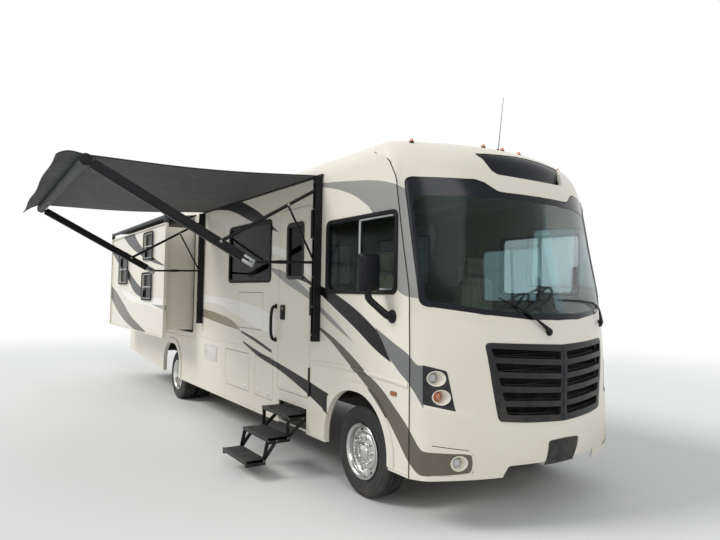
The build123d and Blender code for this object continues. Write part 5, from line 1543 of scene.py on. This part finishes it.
def buildMirrors():
    made = bmesh.new()
    (x0, y0, z0), (x1, y1, z1) = mirror["head"]
    for side in (1, -1):
        middle = Vector(((x0 + x1) / 2, side * (y0 + y1) / 2, (z0 + z1) / 2))
        wide, tall = (y1 - y0) / 2, (z1 - z0) / 2
        loops = []
        for share, size in ((0, 0.955), (0.1, 0.985), (0.3, 1.0), (0.55, 0.985), (0.75, 0.94), (0.9, 0.85),
                            (0.98, 0.7), (1.0, 0.45)):
            outline = roundBox((-wide * size, -tall * size), (wide * size, tall * size), mirror["corner"] * size, 6)
            loops.append([Vector((x0 + (x1 - x0) * share, middle.y + point.x, middle.z + point.y))
                          for point in outline])
        addLoops(made, loops)
        for low, high in ((z0 + 0.018, z0 + 0.105), (z0 + 0.113, z1 - 0.018)):
            pane = roundBox((-wide + 0.014, low), (wide - 0.014, high), 0.02)
            addLoops(made, [[Vector((x0 - out, middle.y + point.x, point.y)) for point in pane]
                            for out in (-0.004, 0.0015)], 1)
        foot, bend = (Vector((mirror[key][0], side * mirror[key][1], mirror[key][2])) for key in ("foot", "bend"))
        run = smoothPath([foot + Vector((0, side * 0.012, 0)), foot + Vector((-0.008, side * 0.055, 0.014)),
                          foot.lerp(bend, 0.6) + Vector((0, side * 0.01, -0.012)), bend,
                          Vector((bend.x, bend.y, z0 + 0.03))], 6)
        sizes = [0.038 - 0.008 * sin(pi * 0.8 * i / (len(run) - 1)) for i in range(len(run))]
        addTube(made, run, sizes, 18)
        addLathe(made, [(0.058, 0), (0.058, 0.007), (0.052, 0.017), (0.038, 0.026), (0, 0.03)], foot,
                 (0, side, 0), 32)
    piece = makePiece("mirror_heads", made, ["black", "chrome"], angle=45)
    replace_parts(piece, "mirrors")


buildMirrors()

wipers = [[(-0.138, 1.587), (-0.309, 1.707), (-0.46, 1.8), (-0.623, 1.875)],
          [(0.88, 1.635), (0.838, 1.757), (0.7, 1.825), (0.455, 1.853), (0.01, 1.864)]]


def buildWipers():
    made = bmesh.new()
    for course in wipers:
        path = smoothPath([Vector((0, y, z)) for y, z in course], 8)
        last = len(path) - 1

        def spot(share, out):
            step = min(int(share * last), last - 1)
            place = path[step].lerp(path[step + 1], share * last - step)
            return Vector((frontX(place.y, place.z) + out, place.y, place.z))
        pivot = spot(0, 0)
        addLathe(made, [(0.034, -0.01), (0.034, 0.006), (0.028, 0.022), (0.015, 0.03), (0, 0.031)], pivot,
                 (1, 0.3 if pivot.y > 0 else 0, 0.1), 24)
        loops = []
        for share, out, wide, deep in ((0, 0.024, 0.046, 0.026), (0.06, 0.03, 0.04, 0.024),
                                       (0.16, 0.034, 0.028, 0.018), (0.3, 0.036, 0.018, 0.01),
                                       (0.45, 0.034, 0.013, 0.007), (0.58, 0.028, 0.011, 0.006)):
            toward = (spot(min(share + 0.05, 1), 0) - spot(max(share - 0.05, 0), 0)).normalized()
            side = toward.cross(Vector((1, 0, 0))).normalized()
            outline = roundBox((-wide / 2, -deep / 2), (wide / 2, deep / 2), deep * 0.3, 3)
            loops.append([spot(share, out) + side * point.x + side.cross(toward) * point.y for point in outline])
        addLoops(made, loops)
        shares = [0.32 + 0.68 * k / 16 for k in range(17)]
        addTube(made, [spot(share, 0.013) for share in shares], [0.004 + 0.004 * sin(pi * k / 16) for k in range(17)],
                8, 1)
        addTube(made, [spot(share, 0.005) for share in shares[:-1]], 0.003, 6, 1)
        clip = spot(0.58, 0.022)
        addBox(made, clip - Vector((0.012, 0.022, 0.008)), clip + Vector((0.01, 0.022, 0.008)), 0.003)
    piece = makePiece("wiper_arms", made, ["black", "rubber"], angle=45)
    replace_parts(piece, "wipers")


buildWipers()
print("steps, mirrors and wipers ready")


# small lamps on the brow, the sides and the tail

lampPlaces = {
    "brow": (-1.02, -0.248, 0, 0.248, 1.02),
    "browX": 0.612,
    "side": ((0.56, 0.646), (1.034, 1.07)),
    "tail": [((1.06, 1.18), (1.0, 1.33)), ((1.06, 1.18), (2.9, 2.98))],
}


def browTop(x, y):
    # the height of the brow over a place
    column = frontColumn(y, [0.8, 0.9, 1.0], 40)
    for low, high in zip(column, column[1:]):
        if high.x <= x <= low.x and low.x > high.x:
            return low.z + (high.z - low.z) * (low.x - x) / (low.x - high.x)
    return roofZ(y)


def addLens(bm, outline, place, rise, skin, bedSkin, bed):
    # a domed lens on a bed, from a flat outline
    addMoulding(bm, place, outline, ((0, -0.002), (0, bed * 0.7), (0.002, bed)), bedSkin)
    dome = ((0.004, -0.001), (0.004, rise * 0.5), (0.0065, rise * 0.85), (0.012, rise))
    addMoulding(bm, place, outline, [(inset, bed + out) for inset, out in dome], skin)


def buildLamps():
    made = bmesh.new()
    for y in lampPlaces["brow"]:
        x = lampPlaces["browX"] - 0.13 * y * y
        low = browTop(x, y)
        loops = []
        for rise, wide, length in ((-0.01, 0.02, 0.03), (0.006, 0.019, 0.029), (0.007, 0.014, 0.023),
                                   (0.016, 0.014, 0.023), (0.026, 0.011, 0.019), (0.033, 0.005, 0.01)):
            loops.append([Vector((x + cos(turn) * length, y + sin(turn) * wide, low + rise))
                          for turn in (2 * pi * k / 20 for k in range(20))])
        addLoops(made, loops[:2], 1)
        addLoops(made, loops[2:], 0)
    for side in (1, -1):
        outline = roundBox(*zip(*lampPlaces["side"]), 0.01, 4)
        wall = onWall(side)
        addLens(made, outline, wall, 0.01, 0, 1, 0.004)
        for (y0, y1), (z0, z1) in lampPlaces["tail"]:
            back = onBack(rearFace, side)
            outline = roundBox((y0, z0), (y1, z1), 0.018, 4)
            addLens(made, outline, back, 0.012, 2, 1, 0.006)
            if z1 - z0 > 0.2:
                clear = roundBox((y0 + 0.018, z0 + 0.03), (y1 - 0.018, z0 + 0.095), 0.01, 4)
                addLoops(made, [[back(point, out) for point in clear] for out in (0.01, 0.0195)], 3)
    piece = makePiece("marker_lamp_set", made, ["amber", "black", "red", "lens"], angle=40)
    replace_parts(piece, "marker_lamps")


buildLamps()


# trim on the door side and the driver's side

def addWindowFrame(bm, place, low, high, radius, width, proud, skin=0, inner=None):
    outline = roundBox((low[0] - width * 0.55, low[1] - width * 0.55), (high[0] + width * 0.55, high[1] + width
            * 0.55), radius, 8)
    profile = [(0, -0.001), (0, proud * 0.6), (width * 0.12, proud), (width * 0.8, proud), (width, proud * 0.4),
               (width, -0.012)]
    addMoulding(bm, place, outline, profile, skin, wrap=True)
    if inner:
        profile = [(width, -0.01), (width, proud * 0.15), (width + 0.01, proud * 0.15), (width + 0.012, -0.01)]
        addMoulding(bm, place, outline, profile, inner, wrap=True)


beltTrim = {
    "belt": [(-0.81, 1.165), (-0.171, 1.185), (0.488, 1.164), (0.792, 1.142)],
    "beltSize": (0.042, 0.012),
    "bottom": [(-9.05, -6.4, 0.62), (-5.35, -0.56, 0.434), (0.6, 0.8, 0.434)],
    "middle": [(-4.36, 1.182), (-3.6, 1.182), (-2.9, 1.18)],
    "rear": {1: [(-9.05, 1.186), (-7.4, 1.186), (-4.4, 1.184)], -1: [(-9.05, 1.13), (-7.4, 1.13), (-4.72, 1.13)]},
}
entryDoor = {
    "latch": (-1.52, 1.66),
    "window": ((-1.416, 2.064), (-1.049, 2.646)),
    "hinges": (0.95, 1.8, 2.62),
    "hingeEdge": -0.86,
    "rim": ((-1.62, 0.8), (-0.882, 2.812)),
}
grabRail = {
    "x": -1.7,
    "radius": 0.018,
    "course": [(1.335, 0.004), (1.345, 0.04), (1.4, 0.06), (1.53, 0.066), (1.66, 0.06), (1.715, 0.04),
               (1.725, 0.004)],
}
servicePanel = {
    "frame": ((-4.16, 0.865), (-3.634, 1.1)),
    "lid": ((-4.128, 0.893), (-3.666, 1.072)),
    "lock": (-4.09, 0.985),
}


def addWallStrip(bm, side, points, height, depth):
    # a half-round moulding that follows points of (x, z) on a wall
    outline = [(-height / 2, -0.001), (-height / 2, depth * 0.5), (-height * 0.3, depth), (height * 0.3, depth),
               (height / 2, depth * 0.5), (height / 2, -0.001)]
    addLoops(bm, [[Vector((x, side * (halfWidth + out), z + up)) for up, out in outline] for x, z in points])


def buildBelt():
    belt, seams = bmesh.new(), bmesh.new()
    for side in (-1, 1):
        run = [(point.x, point.y) for point in smoothPath([(x, z, 0) for x, z in beltTrim["belt"]], 6)]
        addWallStrip(belt, side, run, *beltTrim["beltSize"])
        for x0, x1, z in beltTrim["bottom"]:
            addWallStrip(belt, side, [(x0, z), (x1, z)], 0.02, 0.006)
        addWallStrip(belt, side, beltTrim["middle"], 0.026, 0.007)
        addWallStrip(belt, side, beltTrim["rear"][side], 0.02, 0.006)
        heights = [0.405 + 0.1 * i for i in range(25)]
        seam = [(along(frontCap["sections"], z, 3), z) for z in heights] + frontCap["seamEdge"]
        addTube(seams, [onWall(side)(place, 0.0005) for place in seam], 0.0045, 6)
    makePiece("belt_mouldings", belt, ["capPaint"])
    makePiece("cap_seams", seams, ["rubber"])


def buildDoorFittings():
    door = bmesh.new()
    wall = onWall(-1)
    x, z = entryDoor["latch"]
    latch = roundBox((x - 0.052, z - 0.085), (x + 0.052, z + 0.085), 0.02)
    addMoulding(door, wall, latch, ((0, -0.001), (0, 0.01), (0.004, 0.014), (0.012, 0.014), (0.016, 0.004)))
    paddle = roundBox((x - 0.026, z - 0.055), (x + 0.026, z + 0.01), 0.01, 4)
    addMoulding(door, wall, paddle, ((0, 0.004), (0, 0.016), (0.004, 0.019)))
    lock = wall((x, z + 0.045), 0.01)
    addLathe(door, [(0.011, 0), (0.011, 0.006), (0.008, 0.008), (0, 0.008)], lock, (0, -1, 0), 20, 1)
    edge = entryDoor["hingeEdge"]
    for z in entryDoor["hinges"]:
        leaf = roundBox((edge - 0.034, z - 0.15), (edge, z + 0.15), 0.006, 3)
        addMoulding(door, wall, leaf, ((0, -0.001), (0, 0.004), (0.0015, 0.0055)))
        addTube(door, [wall((edge + 0.002, z + up), 0.008) for up in (-0.15, 0, 0.15)], 0.0075, 12)
    rim = roundBox(*entryDoor["rim"], 0.055, 8)
    addMoulding(door, wall, rim, ((0, -0.001), (0.001, 0.003), (0.009, 0.003), (0.01, -0.001)), 2, True)
    addWindowFrame(door, wall, *entryDoor["window"], 0.085, 0.052, 0.014)
    makePiece("entry_door_fittings", door, ["black", "chrome", "capPaint"], "entry_door")


def buildGrabRail():
    grab = bmesh.new()
    x, course = grabRail["x"], grabRail["course"]
    addTube(grab, smoothPath([onWall(-1)((x, z), out) for z, out in course], 6), grabRail["radius"], 16)
    for z in (course[0][0], course[-1][0]):
        foot = [(0.03, 0), (0.03, 0.005), (0.024, 0.012), (0.012, 0.016)]
        addLathe(grab, foot, (x, -halfWidth, z), (0, -1, 0), 24)
    made = makePiece("grab_rail", grab, ["black"])
    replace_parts(made, "grab_handle")


def buildServicePanel():
    panel = bmesh.new()
    wall = onWall(-1)
    frameOutline = roundBox(*servicePanel["frame"], 0.016)
    addMoulding(panel, wall, frameOutline, ((0, -0.002), (0, 0.006), (0.004, 0.009), (0.016, 0.009), (0.02, 0.003)))
    lid = roundBox(*servicePanel["lid"], 0.012)
    addMoulding(panel, wall, lid, ((0, 0.001), (0, 0.0045), (0.003, 0.006)))
    lock = wall(servicePanel["lock"])
    addLathe(panel, [(0.016, 0.008), (0.016, 0.012), (0.01, 0.014), (0, 0.014)], lock, (0, -1, 0), 24, 1)
    made = makePiece("service_louvres", panel, ["white", "chrome"])
    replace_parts(made, "service_panel")


buildBelt()
buildDoorFittings()
buildGrabRail()
buildServicePanel()


# locker doors and hatches, with small fittings: latches and the seals round their edges

lockerDoors = {
    "front_locker_door": (-1, (-2.279, 0.612), (-1.749, 1.112)),
    "rear_locker_door": (-1, (-3.3, 0.615), (-2.455, 1.1)),
    "tv_hatch": (-1, (-2.865, 1.416), (-2.082, 1.888)),
    "left_locker_door": (1, (-3.3, 0.615), (-2.455, 1.1)),
}


def buildLockerFittings():
    for body, (side, low, high) in lockerDoors.items():
        made = bmesh.new()
        wall = onWall(side)
        outline = roundBox((low[0] + 0.01, low[1] + 0.01), (high[0] - 0.01, high[1] - 0.01), 0.022, 6)
        addMoulding(made, wall, outline, ((0, -0.001), (0.001, 0.0022), (0.011, 0.0022), (0.013, -0.001)), 0, True)
        spots = [(low[0] + high[0]) / 2] if body == "tv_hatch" else [low[0] + 0.13, high[0] - 0.13]
        for x in spots:
            spot = wall((x, low[1] + 0.055), 0)
            addLathe(made, [(0.024, -0.001), (0.024, 0.003), (0.02, 0.006), (0.012, 0.007), (0, 0.007)], spot,
                     (0, side, 0), 28, 1)
            addBar(made, spot + Vector((-0.012, side * 0.009, 0)), spot + Vector((0.012, side * 0.009, 0)), 0.005,
                   0.006, 1, 0.001, (0, 0, 1))
        makePiece(body + "_fittings", made, ["capPaint", "chrome"], body)


buildLockerFittings()


# windows of the slide-out and the coach: outer frames, dividers and inner liners

slideWindows = [((-6.12, 2.425), (-5.51, 2.88)), ((-6.17, 1.73), (-5.53, 2.18)), ((-8.1, 2.015), (-7.36, 2.595))]
coachWindows = {
    "cab": (-1, (-0.536, 1.905), (0.615, 2.6), 0.06, [0.036]),
    "cabLeft": (1, (-0.536, 1.905), (0.615, 2.6), 0.06, [0.036]),
    "living": (-1, (-3.21, 2.025), (-1.88, 2.757), 0.06, []),
    "galley": (1, (-4.9, 2.025), (-4.0, 2.757), 0.06, [-4.45]),
    "bedroom": (1, (-7.6, 2.025), (-6.7, 2.757), 0.06, [-7.15]),
}
cabSash = ((0.05, 1.93), (0.602, 2.575))


def buildWindowTrim():
    slideFace = -1.76
    face = onSide(slideFace)
    made = bmesh.new()
    for low, high in slideWindows:
        addWindowFrame(made, face, low, high, 0.075, 0.034, 0.01, 0, 1)
        divide = low[1] + (high[1] - low[1]) * 0.48
        addBox(made, (low[0] + 0.01, slideFace - 0.004, divide - 0.009), (high[0] - 0.01, slideFace + 0.01, divide
                + 0.009), 0.002, 1)
    makePiece("slide_window_frames", made, ["rubber", "silverFrame"], "slide_out")
    coach = bmesh.new()
    for side, low, high, radius, bars in coachWindows.values():
        wall = onWall(side)
        addWindowFrame(coach, wall, low, high, radius + 0.02, 0.036, 0.014, 0)
        for x in bars:
            addBox(coach, (x - 0.014, side * (halfWidth - 0.012) - 0.01, low[1] + 0.02),
                   (x + 0.014, side * (halfWidth - 0.012) + 0.01, high[1] - 0.02), 0.003, 0)
            addBox(coach, (x + 0.016, side * (halfWidth - 0.01) - 0.006, low[1] + 0.024),
                   (x + 0.03, side * (halfWidth - 0.01) + 0.006, high[1] - 0.024), 0.002, 0)
    for side in (-1, 1):
        addWindowFrame(coach, onWall(side), cabSash[0], cabSash[1], 0.045, 0.024, 0.006, 1)
    addWindowFrame(coach, onBack(rearFace), (-0.6, 2.15), (0.6, 2.7), 0.08, 0.036, 0.014, 0)
    makePiece("coach_window_trim", coach, ["rubber", "silverFrame"])


buildWindowTrim()


# slide-out trim: the flange round its face, a small end plate at each foot, and the seal round the opening in the
# wall

slideTrim = {"x": (-8.9, -4.745), "z": (1.15, 2.96), "face": -1.758, "back": -1.736, "box": (-8.85, -4.795)}


def buildSlideTrim():
    made = bmesh.new()
    (x0, x1), (z0, z1) = slideTrim["x"], slideTrim["z"]
    outline = roundBox((x0, z0), (x1, z1), 0.012, 4)
    face = onSide(slideTrim["face"])
    profile = [(-0.002, -0.02), (-0.002, 0), (0.001, 0.003), (0.014, 0.003), (0.016, -0.001)]
    addMoulding(made, face, outline, profile, 0, wrap=True)
    for x in slideTrim["box"]:
        side = 1 if x > -6 else -1
        addBox(made, (min(x, x + side * 0.004), -1.732, 1.315), (max(x, x + side * 0.004), -1.3, 1.335), 0.001, 0)
    makePiece("slide_flange", made, ["plainPaint"], "slide_out")
    seal = bmesh.new()
    x0, x1 = slideTrim["box"]
    hole = roundBox((x0 - 0.018, 1.252), (x1 + 0.018, 2.918), 0.01, 3)
    wall = onWall(-1)
    profile = [(0, -0.001), (-0.034, -0.001), (-0.034, 0.003), (-0.02, 0.005), (-0.004, 0.003)]
    addMoulding(seal, wall, hole, profile, 0, wrap=True)
    makePiece("slide_opening_seal", seal, ["rubber"])


buildSlideTrim()
print("trim ready")


# seats: crowned pads with piping and sewn channels

seat = {
    "sides": (-0.62, 0.62),
    "cushion": ((-0.27, -0.27, 1.548), (0.262, 0.27, 1.676)),
    "back": ((-0.428, -0.26, 1.64), (-0.306, 0.26, 2.1)),
    "head": ((-0.424, -0.15, 2.128), (-0.324, 0.15, 2.328)),
    "channels": (-0.55, -0.18, 0.18, 0.55),
    "crown": 0.014,
    "pull": 0.035,
    "channelDepth": 0.006,
    "piping": 0.0055,
    "cuts": 22,
}


def padPoint(point, low, high, channels):
    # a place on the unit cube's skin, moved to the pad: rounded, crowned, pulled in along its sides, with channels
    # the pad faces its third axis
    power = 5.0
    length = sum(abs(value) ** power for value in point) ** (1 / power)
    x, y, z = (value / length for value in point)
    up = max(z, 0)
    crown = (1 - x * x) * (1 - y * y)
    groove = sum(exp(-((y - place) / 0.045) ** 2) for place in channels) * (1 - min(abs(x), 1) ** 6)
    pulled = seat["pull"]
    x, y = x * (1 - pulled * (1 - y * y) * (1 - abs(z))), y * (1 - pulled * (1 - x * x) * (1 - abs(z)))
    middle, half = (low + high) / 2, (high - low) / 2
    rise = up * (seat["crown"] * crown - seat["channelDepth"] * groove)
    return middle + Vector((x * half.x, y * half.y, z * half.z + rise))


def addPad(bm, low, high, turn, channels):
    # low and high are the pad's box in its own axes; turn brings it to the coach
    part = bmesh.new()
    bmesh.ops.create_cube(part, size=2)
    bmesh.ops.subdivide_edges(part, edges=part.edges[:], cuts=seat["cuts"], use_grid_fill=True)
    for vertex in part.verts:
        vertex.co = turn(padPoint(vertex.co, low, high, channels))
    join(bm, part)
    for level in (0.62, -0.62):
        ring = [(1, t) for t in (-0.96, -0.5, 0, 0.5, 0.96)] + [(t, 1) for t in (0.96, 0.5, 0, -0.5, -0.96)]
        ring += [(-1, t) for t in (0.96, 0.5, 0, -0.5, -0.96)] + [(t, -1) for t in (-0.96, -0.5, 0, 0.5, 0.96)]
        path = [turn(padPoint(Vector((x, y, level)), low, high, ())) for x, y in ring]
        addTube(bm, smoothPath(path, 4, True), seat["piping"], 8, 1, True)


def buildSeats():
    pads = bmesh.new()
    metal = bmesh.new()
    for side in seat["sides"]:
        flat = lambda point, y=side: Vector((point.x, y + point.y, point.z))
        # the back and head pads face forward: their own axes are height, width, then forward
        upright = lambda point, y=side: Vector((point.z, y + point.y, point.x))
        low, high = (Vector(corner) for corner in seat["cushion"])
        addPad(pads, low, high, flat, seat["channels"])
        for name, channels in (("back", seat["channels"]), ("head", ())):
            low, high = (Vector((corner[2], corner[1], corner[0])) for corner in seat[name])
            addPad(pads, low, high, upright, channels)
        for y in (-0.07, 0.07):
            addTube(metal, [Vector((-0.372, side + y, z)) for z in (2.06, 2.11, 2.16)], 0.006, 12)
        for y in (-0.205, 0.205):
            plate = roundOutline([(-0.345, 1.56), (-0.1, 1.56), (-0.14, 1.62), (-0.345, 1.74)], 0.02, 4)
            addLoops(metal, [[Vector((point.x, side + y + deep, point.y)) for point in plate]
                             for deep in (-0.004, 0.004)], 1)
    cushions = makePiece("seat_pads", pads, ["seat", "seatPiping"], angle=60)
    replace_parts(cushions, "seat_cushions")
    makePiece("seat_hardware", metal, ["chrome", "darkDash"])
    return cushions


seatPads = buildSeats()
print("seats ready")


# dash: instrument hood, vents, screen and controls; steering wheel hub

dashParts = {
    "hood": ((0.655, 0.42, 1.64), (0.9, 0.82, 1.715)),
    "screen": (-0.02, 0.16, 1.455, 1.565),
    "vents": (-0.8, -0.45, 0.25, 0.86),
    "wheel": (0.5, 0.62, 1.85),
    "wheelTilt": 50,
    "dials": (0.53, 0.71),
    "knobs": (-0.16, -0.11, 0.3, 0.36),
}


def dashFace(z):
    # where the dash's rear face is at a height
    return 0.6 + (z - 1.4) / (1.64 - 1.4) * 0.04


def dashTop(x):
    return 1.66 + (1.24 - x) / (1.24 - 0.9) * 0.02


def onDash(point, out):
    return Vector((dashFace(point.y) - out, point.x, point.y))


def onDashTop(point, out):
    return Vector((point.x, point.y, dashTop(point.x) + out))


def buildDash():
    made = bmesh.new()
    (x0, y0, z0), (x1, y1, z1) = dashParts["hood"]
    arch = [(cos(pi * i / 16), sin(pi * i / 16) ** 0.7) for i in range(17)]
    loops = []
    for share, size in ((0, 0.94), (0.04, 1.0), (0.5, 0.97), (0.85, 0.8), (1.0, 0.55)):
        x = x0 + (x1 - x0) * share
        loops.append([Vector((x, (y0 + y1) / 2 + (y1 - y0) / 2 * size * across, z0 + (z1 - z0) * size * up))
                      for across, up in arch])
    addLoops(made, loops)
    for y in dashParts["dials"]:
        addLathe(made, [(0.066, -0.004), (0.066, 0.004), (0.06, 0.008), (0.056, 0.002), (0, 0.002)],
                 (dashFace(1.565) - 0.001, y, 1.565), (-1, 0, 0), 40, 1)
    left, right, low, high = dashParts["screen"]
    panel = roundBox((left - 0.02, low - 0.02), (right + 0.02, high + 0.02), 0.015)
    addMoulding(made, onDash, panel, ((0, -0.002), (0, 0.006), (0.003, 0.008), (0.016, 0.008), (0.018, 0.005)), 1)
    for y in dashParts["vents"]:
        outline = roundBox((y - 0.065, 1.53), (y + 0.065, 1.6), 0.012, 4)
        addMoulding(made, onDash, outline, ((0, -0.002), (0, 0.008), (0.003, 0.01), (0.008, 0.01), (0.009, 0)), 1)
        for k in range(4):
            z = 1.543 + k * 0.0145
            addBar(made, (dashFace(z) - 0.004, y - 0.055, z), (dashFace(z) - 0.004, y + 0.055, z), 0.006, 0.003, 1,
                   0.0008)
    for y in dashParts["knobs"]:
        addLathe(made, [(0.017, 0), (0.017, 0.012), (0.014, 0.018), (0, 0.018)], (dashFace(1.47) - 0.001, y, 1.47),
                 (-1, 0, 0), 24, 1)
    for y in (-0.42, 0.42):
        slot = roundBox((0.925, y - 0.27), (0.985, y + 0.27), 0.02, 4)
        addMoulding(made, onDashTop, slot, ((0, -0.002), (0, 0.004), (0.004, 0.006), (0.012, 0.006), (0.014, 0.001)),
                    1)
        for k in range(21):
            spot = y - 0.24 + k * 0.024
            addBar(made, (0.935, spot, dashTop(0.935) + 0.003), (0.975, spot, dashTop(0.975) + 0.003), 0.004, 0.003,
                   1, 0.0008, (0, 1, 0))
    makePiece("dash_fittings", made, ["dash", "darkDash"])
    hub = bmesh.new()
    centre = Vector(dashParts["wheel"])
    tilt = radians(dashParts["wheelTilt"])
    axis = Vector((-cos(tilt), 0, sin(tilt)))
    addLathe(hub, [(0.062, -0.012), (0.07, 0.004), (0.064, 0.018), (0.04, 0.026), (0, 0.029)], centre, axis, 40)
    makePiece("steering_hub", hub, ["darkDash"])


buildDash()
print("dash ready")


# roof: moulded shrouds with louvres, vent lids, whip antenna

roofKit = {
    "units": (-2.4, -7.2),
    "shroud": [(0.525, 0.37, 0), (0.524, 0.369, 0.06), (0.514, 0.36, 0.12), (0.485, 0.334, 0.246),
               (0.455, 0.31, 0.28), (0.4, 0.285, 0.31), (0.35, 0.25, 0.328), (0.3, 0.215, 0.332)],
    "base": 3.345,
    "vents": (-4.2, -5.7),
    "lid": 0.2,
    "rimLevels": [(0, 0), (0, 0.052), (0.006, 0.058)],
    "lidLevels": [(0, 0.062), (0, 0.08), (0.01, 0.092), (0.05, 0.1), (0.12, 0.1045)],
    "antenna": [(0.45, 3.33), (0.47, 3.49), (0.492, 3.67), (0.52, 3.888)],
    "antennaSide": 0.12,
}


def buildRoof():
    made = bmesh.new()
    base = roofKit["base"]
    for middle in roofKit["units"]:
        loops = []
        for long, wide, high in roofKit["shroud"]:
            outline = roundBox((middle - long, -wide), (middle + long, wide), 0.1, 7)
            loops.append([Vector((point.x, point.y, base + high)) for point in outline])
        addLoops(made, loops)
        for side in (-1, 1):
            for k in range(7):
                z = base + 0.075 + 0.022 * k
                x = middle + side * (0.524 - (z - base - 0.06) * 0.15)
                addBar(made, (x - side * 0.004, -0.24, z), (x - side * 0.004, 0.24, z), 0.016, 0.006, 1, 0.001)
            for k in range(6):
                z = base + 0.08 + 0.024 * k
                y = side * (0.369 - (z - base - 0.06) * 0.17)
                addBar(made, (middle - 0.36, y - side * 0.003, z), (middle - 0.02, y - side * 0.003, z), 0.014, 0.006,
                       1, 0.001, (0, 1, 0))
            for x in (middle - 0.44, middle + 0.44):
                addLathe(made, [(0.012, 0), (0.012, 0.004), (0.006, 0.006), (0, 0.006)],
                         (x, side * 0.366, base + 0.035), (0, side, 0), 16, 1)
    lid = roofKit["lid"]
    for middle in roofKit["vents"]:
        for size, levels, skin in ((lid, roofKit["rimLevels"], 0), (lid - 0.004, roofKit["lidLevels"], 2)):
            loops = []
            for inset, high in levels:
                half = size - inset
                outline = roundBox((middle - half, -half), (middle + half, half), 0.03)
                loops.append([Vector((point.x, point.y, base + high)) for point in outline])
            addLoops(made, loops, skin)
        addBox(made, (middle - 0.18, -0.18, base + 0.05), (middle + 0.18, 0.18, base + 0.066), 0.004, 1)
    y = roofKit["antennaSide"]
    path = smoothPath([Vector((x, y, z)) for x, z in roofKit["antenna"]], 5)
    sizes = [0.0042 - 0.0022 * i / (len(path) - 1) for i in range(len(path))]
    addTube(made, path, sizes, 10, 1)
    addLathe(made, [(0.022, -0.02), (0.022, 0.006), (0.016, 0.018), (0.008, 0.034), (0, 0.036)],
             (0.45, y, base - 0.002), (0, 0, 1), 24, 1)
    piece = makePiece("roof_kit", made, ["white", "black", "vent"])
    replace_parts(piece, "roof_units")


buildRoof()


# tail: plate recess, ladder feet and rung treads

tail = {"ladder": (0.56, 0.9), "rungs": [1.32 + 0.29 * k for k in range(7)], "face": -9.17}


def buildTail():
    made = bmesh.new()
    for y in tail["ladder"]:
        for z in (1.22, 2.2, 3.1):
            addLathe(made, [(0.036, 0), (0.036, 0.006), (0.028, 0.012), (0.017, 0.02)], (rearFace, y, z),
                     (-1, 0, 0), 24, 0)
    for z in tail["rungs"]:
        for k in range(9):
            y = 0.6 + k * 0.0325
            addBar(made, (tail["face"], y, z + 0.0155), (tail["face"], y + 0.016, z + 0.0155), 0.022, 0.003, 1, 0.001)
    pad = roundBox((-0.19, 0.86), (0.19, 1.03), 0.02)
    addMoulding(made, onBack(rearFace), pad, ((0, -0.001), (0, 0.01), (0.004, 0.014), (0.018, 0.014), (0.02, 0.004)),
                1)
    makePiece("tail_fittings", made, ["alloy", "black"])


buildTail()
print("roof and tail ready")


# wheel houses: inner panels that close the wells toward the chassis; their dark undercoat also paints the shade in
# the wells

wheelHouse = {
    "front": ((-0.56, 0.58), 0.59),
    "rear": ((-6.34, -5.36), 0.56),
    "foot": 0.5,
    "crown": 0.98,
}


def buildWheelHouses():
    made = bmesh.new()
    foot, crown = wheelHouse["foot"], wheelHouse["crown"]
    for name in ("front", "rear"):
        (x0, x1), aside = wheelHouse[name]
        corners = [(x0, foot), (x1, foot), (x1, crown - 0.18), (x1 - 0.14, crown), (x0 + 0.14, crown),
                   (x0, crown - 0.18)]
        for side in (-1, 1):
            outline = roundOutline(corners, 0.05)
            levels = [(0, 0), (0, 0.006), (0.006, 0.008), (0.03, 0.002), (0.034, 0.002)]
            addMoulding(made, onSide(side * aside, side), outline, levels, 0)
    makePiece("wheel_house_panels", made, ["undercoatAndShade"])


buildWheelHouses()
